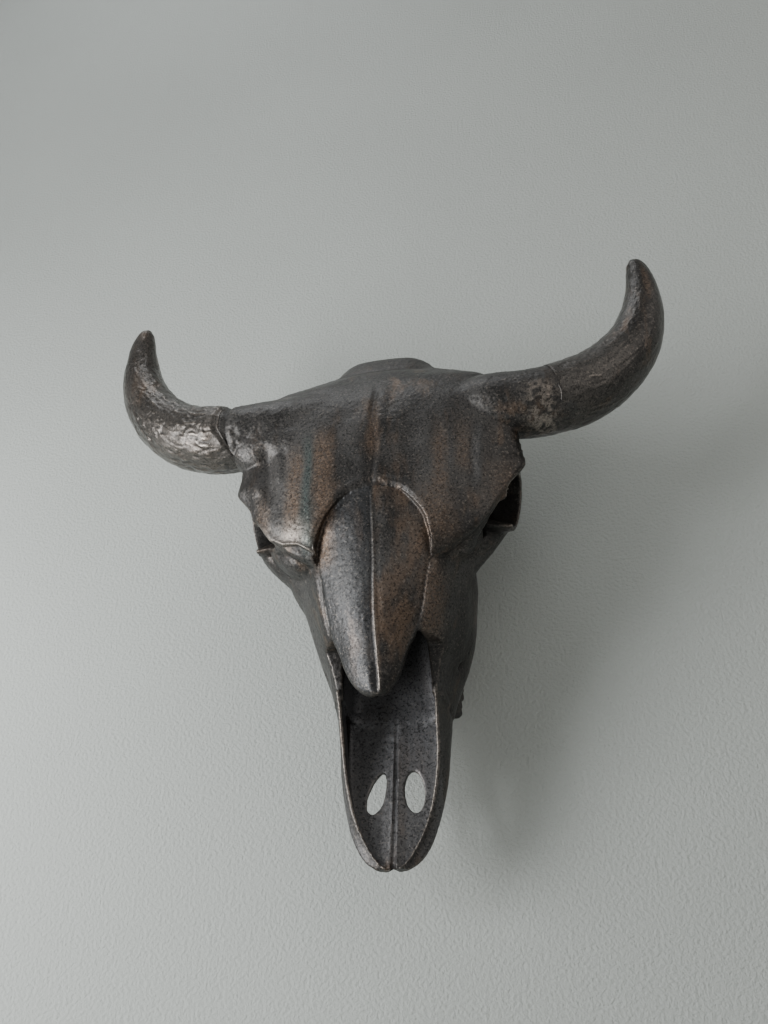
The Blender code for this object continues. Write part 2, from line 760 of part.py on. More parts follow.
def divide(mass, tools):
    """Cuts the fused mass along its sutures and seats, with a hair of room at each."""
    gap = GAP / MM
    nasal_seat(tools)
    box("jaw_front", spot(-90, 460, -40), spot(90, MAXILLA_FRONT, 150), tools)
    slab("face_suture", (-150, 264, -40), (150, 264 + gap, 185), tools, FACE_TILT, (0, 264, 66))
    slab("frontal_suture", (-170, -40, FRONTAL_LINE), (170, 284, FRONTAL_LINE + gap), tools)
    for side in (1, -1):
        slab("core_end", (side * (BURR_LINE - gap / 2), 0, 100), (side * 235, 174, 240), tools)
        slab("arch_front", (side * 104, 182, 70), (side * 170, 182 + gap, FRONTAL_LINE + gap), tools)
        slab("arch_rear", (side * 68, 90, 70), (side * 150, 90 + gap, FRONTAL_LINE + gap), tools)
        slab("neck", (side * 40, 225, NECK_LINE), (side * 84, 402, -30), tools)
    boolean(mass, "DIFFERENCE", tools)


def nasal_seat(tools):
    """The room for both nasal bones: everything over their undersides and inside their edges."""
    rings = []
    rows = sampled(NASALS, NASAL_STATIONS)
    for i, row in enumerate(rows):
        before, after = rows[max(i - 1, 0)], rows[min(i + 1, len(rows) - 1)]
        widths = (row.left_w, row.right_w)
        halves = []
        for width, width_before, width_after in (
            (row.left_w, before.left_w, after.left_w),
            (row.right_w, before.right_w, after.right_w),
        ):
            slope = (width_after - width_before) / (after.forward - before.forward)
            halves.append(width + GAP / MM * min(math.hypot(1, slope), 4))
        under = []
        for k in range(21):
            x = halves[k > 10] * (k - 10) / 10
            share = min(abs(x) / widths[k > 10], 1)
            height = row.ridge - row.drop * share**2.1 - (NASAL_THICKNESS + NASAL_ROOM) / MM
            under.append(spot(x, row.forward, height))
        over = [point + Vector((0, 0, 60 * MM)) for point in reversed(under)]
        rings.append(under + over)
    extra = Vector((0, 1.0 * MM, 0))
    rings.insert(0, [point + extra for point in rings[0]])
    return loft("nasal_seat", rings, tools)


def shells_of(obj, collection):
    """Every closed surface of the mesh as an object of its own, largest first, without scraps."""
    bm = bmesh.new()
    bm.from_mesh(obj.data)
    bmesh.ops.dissolve_degenerate(bm, dist=0.01 * MM, edges=bm.edges)
    pieces = []
    for group in surfaces(bm):
        if len(group) >= 60:
            part = bm.copy()
            keep_faces(part, group)
            pieces.append(mesh_object("shell", part, collection))
    bm.free()
    bpy.data.objects.remove(obj)
    return pieces


def middle(obj):
    """The mean of the object's points, as lateral, forward and up distances in millimetres."""
    count = len(obj.data.vertices)
    total = sum((v.co for v in obj.data.vertices), Vector())
    x, y, z = total / count / MM
    return x, -y, z


def name_shells(pieces):
    """Names the divided pieces by where they lie; a piece that fits no name is dropped."""
    named = {}
    for piece in pieces:
        x, forward, height = middle(piece)
        hand = "right" if x > 0 else "left"
        if abs(x) > 75:
            name = f"cheek_arch_{hand}"
        elif height > 130:
            name = "frontal"
        elif forward > 270:
            name = "upper_jaw"
        else:
            name = "braincase"
        if name in named:
            bpy.data.objects.remove(piece)
        else:
            piece.name = name
            named[name] = piece
    return named


def burr(name, collection, tools, side):
    """The ring of the horn's bony root between the cranium and the sheath."""
    ring = stretch_body(name, BURR, collection, side, sides=24, count=10)
    inner = side * (BURR_LINE + GAP / MM / 2)
    outer = side * (SHEATH_LINES[side] - GAP / MM / 2)
    slab("inner_end", (side * 60, 20, 60), (inner, 240, 260), tools)
    slab("outer_end", (outer, 20, 60), (side * 260, 240, 260), tools)
    boolean(ring, "DIFFERENCE", tools)
    keep_largest(ring)
    return ring


def horn(name, collection, tools, side):
    """The horn sheath, cut flat where it meets its core."""
    sheath = stretch_body(name, HORN, collection, side, sides=HORN_SIDES, count=30)
    slab("sheath_end", (side * 60, 40, 60), (side * (SHEATH_LINES[side] + GAP / MM / 2), 220, 260), tools)
    boolean(sheath, "DIFFERENCE", tools)
    keep_largest(sheath)
    return sheath


def main():
    for obj in list(bpy.data.objects):
        bpy.data.objects.remove(obj)
    scene = bpy.context.scene
    bones = bpy.data.collections.new("bison_skull")
    tools = bpy.data.collections.new("cutters")
    scene.collection.children.link(bones)
    scene.collection.children.link(tools)

    mass = skull_mass(bones, tools)
    divide(mass, tools)
    nodes = name_shells(shells_of(mass, bones))
    colours = {name: "dark_bronze" for name in nodes}
    for side, hand in ((1, "right"), (-1, "left")):
        nasal = nasal_shield(f"nasal_{hand}", bones, side)
        premaxilla = trough_half(f"premaxilla_{hand}", bones, side)
        foramen_cutter(tools, side)
        boolean(premaxilla, "DIFFERENCE", tools)
        teeth = tooth_row(f"tooth_row_{hand}", bones, tools, side)
        ring = burr(f"horn_burr_{hand}", bones, tools, side)
        sheath = horn(f"horn_{hand}", bones, tools, side)
        for node, colour in (
            (nasal, "nasal_bronze"),
            (premaxilla, "dark_bronze"),
            (teeth, "nasal_bronze"),
            (ring, "dark_bronze"),
            (sheath, "horn_bronze"),
        ):
            nodes[node.name] = node
            colours[node.name] = colour
    for node in nodes.values():
        node.data.transform(WALL_POSE)

    plate, lug, screws = hanger(bones, tools)
    grown_copy(lug, GAP, tools)
    boolean(nodes["braincase"], "DIFFERENCE", tools)
    keep_largest(nodes["braincase"])
    nodes[lug.name] = lug
    colours[lug.name] = "dark_bronze"
    for fitting in (plate, *screws):
        nodes[fitting.name] = fitting
        colours[fitting.name] = "steel"
    for name, node in nodes.items():
        finish(node, colours[name])
    scene.collection.children.unlink(tools)


main()
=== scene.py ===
"""The looks of a life-size cast-metal bison skull that hangs on a wall, nose down.

The forms are laid out lying on a table, in millimetres: x to the viewer's right, f forward to the
nose and h up from the palate. They are then tipped against the wall, whose plane is Y = 0, with
+Z up, in metres.
"""

import logging
import math
from dataclasses import dataclass
from enum import Enum
from itertools import product
from typing import Any, Iterable, NamedTuple, Sequence, Union

import bmesh
import bpy
import numpy as np
from mathutils import Matrix, Vector
from mathutils.kdtree import KDTree


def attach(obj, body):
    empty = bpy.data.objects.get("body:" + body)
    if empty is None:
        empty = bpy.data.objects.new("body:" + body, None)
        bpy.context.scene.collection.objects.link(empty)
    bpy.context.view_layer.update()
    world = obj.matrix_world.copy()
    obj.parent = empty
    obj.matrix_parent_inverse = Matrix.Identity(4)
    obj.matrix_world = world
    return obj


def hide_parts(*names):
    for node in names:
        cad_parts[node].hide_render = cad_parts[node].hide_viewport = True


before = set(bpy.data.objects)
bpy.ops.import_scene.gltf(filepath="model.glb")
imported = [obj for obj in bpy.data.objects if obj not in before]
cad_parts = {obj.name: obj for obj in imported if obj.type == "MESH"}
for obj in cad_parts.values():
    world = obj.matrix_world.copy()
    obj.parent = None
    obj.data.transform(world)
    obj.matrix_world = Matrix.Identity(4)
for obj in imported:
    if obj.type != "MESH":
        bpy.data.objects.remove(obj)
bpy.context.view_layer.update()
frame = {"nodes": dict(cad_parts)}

LOG = logging.getLogger("bison_skull")
MM = 0.001

# How the skull hangs: its palate's lean, the wall's depth and how far forward of its nape the
# hanger is
LEAN = math.radians(8)
WALL_DEPTH = 5.0 * MM
HANGER_FORWARD = 52 * MM
WALL_POSE = Matrix.Translation((0, WALL_DEPTH, HANGER_FORWARD * math.cos(LEAN))) @ Matrix.Rotation(
    math.pi / 2 - LEAN, 4, "X"
)

Array = np.ndarray
Colour = tuple[float, float, float]
Path = tuple[tuple[float, ...], ...]
TABLE_AXES = np.array([1.0, -1.0, 1.0])


class Side(Enum):
    """The two sides of the skull as the viewer sees them."""

    LEFT = -1
    RIGHT = 1

    @property
    def hand(self) -> str:
        """The side's name in the nodes' names."""
        return self.name.lower()


class Section(NamedTuple):
    """A cross-section of a body: crown, shoulders, sides, base and keel, in millimetres."""

    forward: float
    crown: float
    shoulder_w: float
    shoulder_h: float
    side_w: float
    side_h: float
    base_w: float
    base_h: float
    keel: float


class Stretch(NamedTuple):
    """A station of a bar or horn with an elliptic section, in millimetres."""

    x: float
    forward: float
    height: float
    thick: float
    tall: float


class Nasal(NamedTuple):
    """A station of the nasal shield: its width on either side, its ridge and the drop to its edges."""

    forward: float
    left_w: float
    right_w: float
    ridge: float
    drop: float


class Trough(NamedTuple):
    """A station of the premaxillae: their half width, and the half width and height of their rim."""

    forward: float
    outer_w: float
    rim_w: float
    rim_h: float
    floor_h: float


class Furrow(NamedTuple):
    """A roll, or a groove where its rise is below zero, along a bent line seen from above."""

    path: Path
    rise: float
    width: float


def ease(stations: Sequence[float], values: Sequence[float], at: Union[float, Array]) -> Array:
    """Reads a smooth curve through stations that doesn't overshoot them.

    Args:
        stations: Places along the curve, rising.
        values: The curve's values there.
        at: Where to read it; places past the ends take the end values.

    Returns:
        The values at those places.
    """
    xs = np.asarray(stations, float)
    ys = np.asarray(values, float)
    at = np.clip(np.asarray(at, float), xs[0], xs[-1])
    steps = np.diff(xs)
    slopes = np.diff(ys) / steps
    tangents = np.zeros(len(ys))
    tangents[0], tangents[-1] = slopes[0], slopes[-1]
    for i in range(1, len(ys) - 1):
        if slopes[i - 1] * slopes[i] > 0:
            w1 = 2 * steps[i] + steps[i - 1]
            w2 = steps[i] + 2 * steps[i - 1]
            tangents[i] = (w1 + w2) / (w1 / slopes[i - 1] + w2 / slopes[i])
    i = np.clip(np.searchsorted(xs, at) - 1, 0, len(steps) - 1)
    t = (at - xs[i]) / steps[i]
    return (
        (2 * t**3 - 3 * t**2 + 1) * ys[i]
        + (t**3 - 2 * t**2 + t) * steps[i] * tangents[i]
        + (3 * t**2 - 2 * t**3) * ys[i + 1]
        + (t**3 - t**2) * steps[i] * tangents[i + 1]
    )


def ramp(value: Array, low: float, high: float) -> Array:
    """Smooth step from 0 at low to 1 at high, which may lie either way round."""
    t = np.clip((value - low) / (high - low), 0, 1)
    return t * t * (3 - 2 * t)


def bell(value: Array, width: float) -> Array:
    """A soft bump of height 1 round zero."""
    return np.exp(-((value / width) ** 2))


def noise(points: Array, cell: Union[float, Sequence[float]], seed: int) -> Array:
    """Smooth lattice noise between -1 and 1.

    Args:
        points: Places, one per row.
        cell: Size of a lattice cell, one number or one for each axis.
        seed: Picks the pattern.

    Returns:
        The noise at each place.
    """
    grid = points / np.asarray(cell, float)
    base = np.floor(grid).astype(np.int64)
    t = grid - base
    t = t * t * (3 - 2 * t)
    total = np.zeros(len(points))
    for corner in product((0, 1), repeat=3):
        spot = base + np.array(corner)
        mixed = spot[:, 0] * 73856093 ^ spot[:, 1] * 19349663 ^ spot[:, 2] * 83492791 ^ seed * 40503
        mixed = (mixed ^ (mixed >> 13)) * 1274126177
        value = ((mixed ^ (mixed >> 16)) & 0xFFFF) / 32767.5 - 1
        weight = np.prod(np.where(np.array(corner) == 1, t, 1 - t), axis=1)
        total += value * weight
    return total


def near_path(points: Array, path: Sequence[Sequence[float]]) -> tuple[Array, Array]:
    """Distance to a bent line, and how far along it the nearest place is.

    Args:
        points: Places, one per row, in as many axes as the line.
        path: The line's corners.

    Returns:
        The distances, and the shares of the line's length from 0 to 1.
    """
    corners = np.asarray(path, float)
    spans = np.linalg.norm(np.diff(corners, axis=0), axis=1)
    total = spans.sum()
    best = np.full(len(points), 1e9)
    share = np.zeros(len(points))
    done = 0.0
    for a, b, span in zip(corners, corners[1:], spans):
        t = np.clip((points - a) @ (b - a) / span**2, 0, 1)
        distance = np.linalg.norm(points - (a + t[:, None] * (b - a)), axis=1)
        closer = distance < best
        best = np.where(closer, distance, best)
        share = np.where(closer, (done + t * span) / total, share)
        done += span
    return best, share


def columns(rows: Sequence[NamedTuple]) -> list[Array]:
    """The table's columns as arrays."""
    return [np.array(column, float) for column in zip(*rows)]


def sampled(rows: Sequence[NamedTuple], count: int) -> list[Array]:
    """Reads the table's columns at evenly spaced places along its first one.

    Args:
        rows: The table.
        count: How many places.

    Returns:
        The places, then the other columns read at them.
    """
    table = columns(rows)
    at = np.linspace(table[0][0], table[0][-1], count)
    return [at] + [ease(table[0], column, at) for column in table[1:]]


def closed_curves(controls: Array, per_span: int) -> Array:
    """Draws closed smooth curves through rows of control points.

    Args:
        controls: The points, shaped (rows, points, axes).
        per_span: How many places each span between two of them gets.

    Returns:
        Places along the curves, shaped as the control points are.
    """
    parts = []
    for step in range(per_span):
        t = step / per_span
        before, here, after, beyond = (np.roll(controls, -k, axis=1) for k in (-1, 0, 1, 2))
        parts.append(
            0.5
            * (
                2 * here
                + (after - before) * t
                + (2 * before - 5 * here + 4 * after - beyond) * t**2
                + (3 * here - before - 3 * after + beyond) * t**3
            )
        )
    stacked = np.stack(parts, axis=2)
    return stacked.reshape(len(controls), -1, controls.shape[2])


def cross_axes(centres: Array) -> tuple[Array, Array]:
    """Finds the level and the upright direction square to a line at each of its places.

    Args:
        centres: Places along the line.

    Returns:
        The unit vectors across it and upward from it.
    """
    along = np.gradient(centres, axis=0)
    along /= np.linalg.norm(along, axis=1)[:, None]
    across = np.cross(along, np.array([0, 0, 1.0]))
    across /= np.linalg.norm(across, axis=1)[:, None]
    return across, np.cross(across, along)


def lengths_along(centres: Array) -> Array:
    """How far along a line of places each of them lies."""
    return np.concatenate([[0], np.cumsum(np.linalg.norm(np.diff(centres, axis=0), axis=1))])


class Workshop:
    """Makes and joins solids in a collection of its own, which is emptied at the end."""

    def __init__(self) -> None:
        """Opens the bench that loose solids lie on."""
        self.bench = bpy.data.collections.new("bench")
        self.shelf = bpy.data.collections.new("bison_skull_looks")
        for collection in (self.bench, self.shelf):
            bpy.context.scene.collection.children.link(collection)

    def solid(self, name: str, vertices: Array, faces: Iterable[Sequence[int]]) -> bpy.types.Object:
        """A solid on the bench from places in table millimetres.

        Args:
            name: The object's name.
            vertices: Places as (x, f, h) rows.
            faces: Corner numbers of each face.

        Returns:
            The new object, with its faces pointing out.
        """
        table = vertices * TABLE_AXES * MM
        mesh = bpy.data.meshes.new(name)
        mesh.from_pydata(table.tolist(), [], [list(face) for face in faces])
        bm = bmesh.new()
        bm.from_mesh(mesh)
        bmesh.ops.recalc_face_normals(bm, faces=bm.faces)
        bm.to_mesh(mesh)
        bm.free()
        obj = bpy.data.objects.new(name, mesh)
        self.bench.objects.link(obj)
        return obj

    def loft(self, name: str, rings: Array) -> bpy.types.Object:
        """Closes a body through rings.

        Args:
            name: The object's name.
            rings: Places in table millimetres, shaped (rings, points, 3).

        Returns:
            The body on the bench.
        """
        count, around = rings.shape[:2]
        faces: list[Sequence[int]] = []
        for i in range(count - 1):
            for k in range(around):
                following = (k + 1) % around
                here, beyond = i * around, (i + 1) * around
                faces.append((here + k, here + following, beyond + following, beyond + k))
        faces.append(range(around))
        faces.append(range((count - 1) * around, count * around))
        return self.solid(name, rings.reshape(-1, 3), faces)

    def ball(
        self, name: str, centre: Sequence[float], radii: Sequence[float], tilt: float = 0.0
    ) -> bpy.types.Object:
        """Makes an ellipsoid.

        Args:
            name: The object's name.
            centre: Its middle, in table millimetres.
            radii: Its half sizes across, forward and up.
            tilt: How far it is turned about the lateral axis.

        Returns:
            The ellipsoid on the bench.
        """
        up = np.linspace(-math.pi / 2 + 0.06, math.pi / 2 - 0.06, 25)
        turn = np.linspace(0, 2 * math.pi, 36, endpoint=False)
        rings = np.zeros((len(up), len(turn), 3))
        rings[..., 0] = radii[0] * np.cos(up)[:, None] * np.cos(turn)
        forward = radii[1] * np.cos(up)[:, None] * np.sin(turn)
        height = radii[2] * np.sin(up)[:, None] * np.ones_like(turn)
        rings[..., 1] = forward * math.cos(tilt) - height * math.sin(tilt)
        rings[..., 2] = forward * math.sin(tilt) + height * math.cos(tilt)
        return self.loft(name, rings + np.array(centre, float))

    def block(
        self,
        name: str,
        low: Sequence[float],
        high: Sequence[float],
        tilt: float = 0.0,
        pivot: Sequence[float] = (0, 0, 0),
    ) -> bpy.types.Object:
        """Makes a box.

        Args:
            name: The object's name.
            low: Its lowest corner, in table millimetres.
            high: Its highest corner.
            tilt: How far it is turned nose down about the lateral axis.
            pivot: The place that it is turned about.

        Returns:
            The box on the bench.
        """
        corners = np.array(list(product(*zip(low, high))), float)
        f = corners[:, 1] - pivot[1]
        h = corners[:, 2] - pivot[2]
        corners[:, 1] = pivot[1] + f * math.cos(tilt) + h * math.sin(tilt)
        corners[:, 2] = pivot[2] - f * math.sin(tilt) + h * math.cos(tilt)
        faces = [(0, 1, 3, 2), (4, 6, 7, 5), (0, 4, 5, 1), (2, 3, 7, 6), (0, 2, 6, 4), (1, 5, 7, 3)]
        return self.solid(name, corners, faces)

    @staticmethod
    def settle(obj: bpy.types.Object) -> None:
        """Replaces the object's mesh by what its modifiers make of it.

        Args:
            obj: The object, which loses its modifiers.
        """
        graph = bpy.context.evaluated_depsgraph_get()
        mesh = bpy.data.meshes.new_from_object(obj.evaluated_get(graph))
        obj.modifiers.clear()
        obj.data = mesh

    def combine(self, operation: str, pieces: Sequence[bpy.types.Object]) -> bpy.types.Object:
        """Joins the pieces to the first, or cuts the rest from it, and clears the rest away.

        Args:
            operation: UNION or DIFFERENCE.
            pieces: The solids, of which all but the first are used up.

        Returns:
            The first piece.
        """
        first, rest = pieces[0], pieces[1:]
        group = bpy.data.collections.new("group")
        bpy.context.scene.collection.children.link(group)
        for piece in rest:
            group.objects.link(piece)
        modifier = first.modifiers.new(operation.lower(), "BOOLEAN")
        modifier.operation = operation
        modifier.operand_type = "COLLECTION"
        modifier.collection = group
        modifier.solver = "MANIFOLD"
        self.settle(first)
        for piece in rest:
            bpy.data.objects.remove(piece)
        bpy.data.collections.remove(group)
        return first

    def fuse(
        self, name: str, pieces: Sequence[bpy.types.Object], voxel: float, passes: int
    ) -> bpy.types.Object:
        """Melts overlapping solids into one skin.

        Args:
            name: The new object's name.
            pieces: Solids that overlap; they are used up.
            voxel: Size of the voxels, in millimetres.
            passes: How many times the skin is smoothed.

        Returns:
            The one skin.
        """
        bm = bmesh.new()
        for piece in pieces:
            bm.from_mesh(piece.data)
        mesh = bpy.data.meshes.new(name)
        bm.to_mesh(mesh)
        bm.free()
        for piece in pieces:
            bpy.data.objects.remove(piece)
        skin = bpy.data.objects.new(name, mesh)
        self.bench.objects.link(skin)
        remesh = skin.modifiers.new("voxels", "REMESH")
        remesh.mode = "VOXEL"
        remesh.voxel_size = voxel * MM
        smooth = skin.modifiers.new("soften", "SMOOTH")
        smooth.factor = 0.5
        smooth.iterations = passes
        self.settle(skin)
        return skin

    def hang(self, obj: bpy.types.Object, replaced: Sequence[str]) -> None:
        """Tips a finished piece against the wall and gives it its place in the frame.

        Args:
            obj: The piece, which is on the bench.
            replaced: The nodes that it stands for.
        """
        obj.data.transform(WALL_POSE)
        obj.data.shade_smooth()
        self.bench.objects.unlink(obj)
        self.shelf.objects.link(obj)
        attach(obj, "root")
        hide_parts(*replaced)


class Skin:
    """A dense mesh's vertices, in table millimetres, with the marks that are chased into them."""

    def __init__(self, obj: bpy.types.Object) -> None:
        """Reads the mesh's places, normals and edges.

        Args:
            obj: The object whose mesh is read.
        """
        self.mesh = obj.data
        self.points = self._read("co", self.mesh.vertices) / MM
        self.normals = self._read("vector", self.mesh.vertex_normals)
        edges = np.zeros(len(self.mesh.edges) * 2, np.int32)
        self.mesh.edges.foreach_get("vertices", edges)
        self.edges = edges.reshape(-1, 2)
        self.offset = np.zeros(len(self.points))

    def _read(self, name: str, source: Any) -> Array:
        """Reads one three-number property of every vertex, in the table's axes.

        Args:
            name: The property's name.
            source: Where Blender keeps it.

        Returns:
            A row of x, f and h for each vertex.
        """
        values = np.zeros(len(self.mesh.vertices) * 3, np.float32)
        source.foreach_get(name, values)
        return values.reshape(-1, 3).astype(float) * TABLE_AXES

    def spread(self, values: Array, passes: int) -> Array:
        """Averages values with those of their neighbours.

        Args:
            values: A row of numbers for each vertex.
            passes: How many times it is done.

        Returns:
            The evened values.
        """
        count = len(self.points)
        a, b = self.edges.T
        degree = np.bincount(a, minlength=count) + np.bincount(b, minlength=count)
        out = values.copy()
        for _ in range(passes):
            sums = np.zeros_like(out)
            for k in range(out.shape[1]):
                sums[:, k] = np.bincount(a, out[b, k], count) + np.bincount(b, out[a, k], count)
            out = 0.5 * out + 0.5 * sums / np.maximum(degree, 1)[:, None]
        return out

    def relax(self, weight: Array, passes: int, fill: bool = False) -> None:
        """Draws the vertices to the mean of their neighbours and renews the normals.

        Args:
            weight: How strongly each vertex is drawn, from 0 to 1.
            passes: How many times it is done.
            fill: Only fills hollows, so that what stands out stays.
        """
        chosen = weight > 0.01
        number = np.cumsum(chosen) - 1
        kept = self.edges[chosen[self.edges[:, 0]] & chosen[self.edges[:, 1]]]
        a, b = number[kept].T
        points = self.points[chosen]
        count = len(points)
        degree = np.bincount(a, minlength=count) + np.bincount(b, minlength=count)
        pull = (0.5 * weight[chosen] * (degree > 3))[:, None]
        normals = self.normals[chosen]
        for _ in range(passes):
            sums = np.stack(
                [
                    np.bincount(a, points[b, k], count) + np.bincount(b, points[a, k], count)
                    for k in range(3)
                ],
                axis=1,
            )
            step = sums / np.maximum(degree, 1)[:, None] - points
            if fill:
                step = normals * np.maximum(np.einsum("ij,ij->i", step, normals), 0)[:, None]
            points = points + pull * step
        self.points[chosen] = points
        self._store()
        self.normals = self._read("vector", self.mesh.vertex_normals)

    def _store(self) -> None:
        """Writes the places back to the mesh."""
        moved = self.points * TABLE_AXES * MM
        self.mesh.vertices.foreach_set("co", moved.astype(np.float32).ravel())
        self.mesh.update()

    def press(self) -> None:
        """Moves the vertices along their normals by the chased offsets, in millimetres."""
        self.points = self.points + self.normals * self.offset[:, None]
        self._store()

    def standing(self, passes: int) -> Array:
        """How far each place stands out of its surroundings, below zero in hollows."""
        around = self.spread(self.points, passes)
        return np.einsum("ij,ij->i", self.points - around, self.normals)

    def mark(self, name: str, values: Array) -> None:
        """Writes a number on every vertex for the finish to read."""
        layer = self.mesh.attributes.new(name, "FLOAT", "POINT")
        layer.data.foreach_set("value", values.astype(np.float32))


class Wire:
    """A shader value; Python's operators on it add the Math nodes."""

    def __init__(self, graph: "Graph", socket: bpy.types.NodeSocket) -> None:
        """Holds the node socket that the value comes out of."""
        self.graph = graph
        self.socket = socket

    def _math(self, operation: str, first: Any, second: Any) -> "Wire":
        """A Math node of two values."""
        return self.graph.node("ShaderNodeMath", {"operation": operation}, {0: first, 1: second})[0]

    def __add__(self, other: Any) -> "Wire":
        """This value plus another."""
        return self._math("ADD", self, other)

    __radd__ = __add__

    def __sub__(self, other: Any) -> "Wire":
        """This value less another."""
        return self._math("SUBTRACT", self, other)

    def __rsub__(self, other: Any) -> "Wire":
        """A number less this value."""
        return self._math("SUBTRACT", other, self)

    def __mul__(self, other: Any) -> "Wire":
        """This value times another."""
        return self._math("MULTIPLY", self, other)

    __rmul__ = __mul__

    def __abs__(self) -> "Wire":
        """This value without its sign."""
        return self._math("ABSOLUTE", self, 0.0)

    def __or__(self, other: Any) -> "Wire":
        """The larger of two values."""
        return self._math("MAXIMUM", self, other)

    def step(self, low: float, high: float) -> "Wire":
        """Makes a smooth step of the value.

        Args:
            low: Where the step is 0.
            high: Where it is 1, above or below low.

        Returns:
            The step.
        """
        falls = low > high
        ends = {"From Min": min(low, high), "From Max": max(low, high)}
        settings = {"interpolation_type": "SMOOTHSTEP"}
        wire = self.graph.node("ShaderNodeMapRange", settings, {"Value": self, **ends})["Result"]
        return 1 - wire if falls else wire


class Outputs:
    """A node's outputs by name or number."""

    def __init__(self, graph: "Graph", node: bpy.types.Node) -> None:
        """Holds the node."""
        self.graph = graph
        self.made = node

    def __getitem__(self, key: Union[str, int]) -> Wire:
        """The output as a value."""
        return Wire(self.graph, self.made.outputs[key])


class Graph:
    """A material's node tree."""

    def __init__(self, name: str) -> None:
        """Starts a material with its Principled shader.

        Args:
            name: The material's name.
        """
        self.material = bpy.data.materials.new(name)
        self.material.use_nodes = True
        self.tree = self.material.node_tree
        self.shader = self.tree.nodes["Principled BSDF"]

    def node(
        self, kind: str, settings: dict[str, Any], inputs: dict[Union[str, int], Any]
    ) -> Outputs:
        """Adds a node.

        Args:
            kind: The node's type name.
            settings: Its properties, set first.
            inputs: Numbers, colours or values for its sockets, by name or number.

        Returns:
            Its outputs.
        """
        node = self.tree.nodes.new(kind)
        for name, value in settings.items():
            setattr(node, name, value)
        for key, value in inputs.items():
            self.feed(node.inputs[key], value)
        return Outputs(self, node)

    def feed(self, socket: bpy.types.NodeSocket, value: Any) -> None:
        """Links a value to a socket, or sets a constant on it.

        Args:
            socket: The input.
            value: A shader value, a colour or a number.
        """
        if isinstance(value, Wire):
            self.tree.links.new(value.socket, socket)
        elif isinstance(value, tuple) and len(value) == 3 and socket.type == "RGBA":
            socket.default_value = (*value, 1.0)
        else:
            socket.default_value = value

    def place(self) -> Wire:
        """The object's own coordinates, which are the frame's, in metres."""
        return self.node("ShaderNodeTexCoord", {}, {})["Object"]

    def scaled(self, place: Wire, scale: Sequence[float]) -> Wire:
        """Coordinates stretched on each axis."""
        inputs = {0: place, 1: tuple(scale)}
        return self.node("ShaderNodeVectorMath", {"operation": "MULTIPLY"}, inputs)[0]

    def clouds(self, place: Wire, scale: float, detail: float, roughness: float = 0.5) -> Wire:
        """Noise from 0 to 1."""
        inputs = {"Vector": place, "Scale": scale, "Detail": detail, "Roughness": roughness}
        return self.node("ShaderNodeTexNoise", {}, inputs)["Fac"]

    def mix(self, amount: Any, first: Any, second: Any) -> Wire:
        """A colour between two, by amount."""
        inputs = {0: amount, 6: first, 7: second}
        return self.node("ShaderNodeMix", {"data_type": "RGBA"}, inputs)[2]

    def mark(self, name: str) -> Wire:
        """A number that was written on the mesh's vertices."""
        return self.node("ShaderNodeAttribute", {"attribute_name": name}, {})["Fac"]


class Streak(NamedTuple):
    """A lengthwise stain on the metal, placed in metres, with the name of its tint and its strength."""

    x: float
    half: float
    top: float
    bottom: float
    tint: str
    strength: float


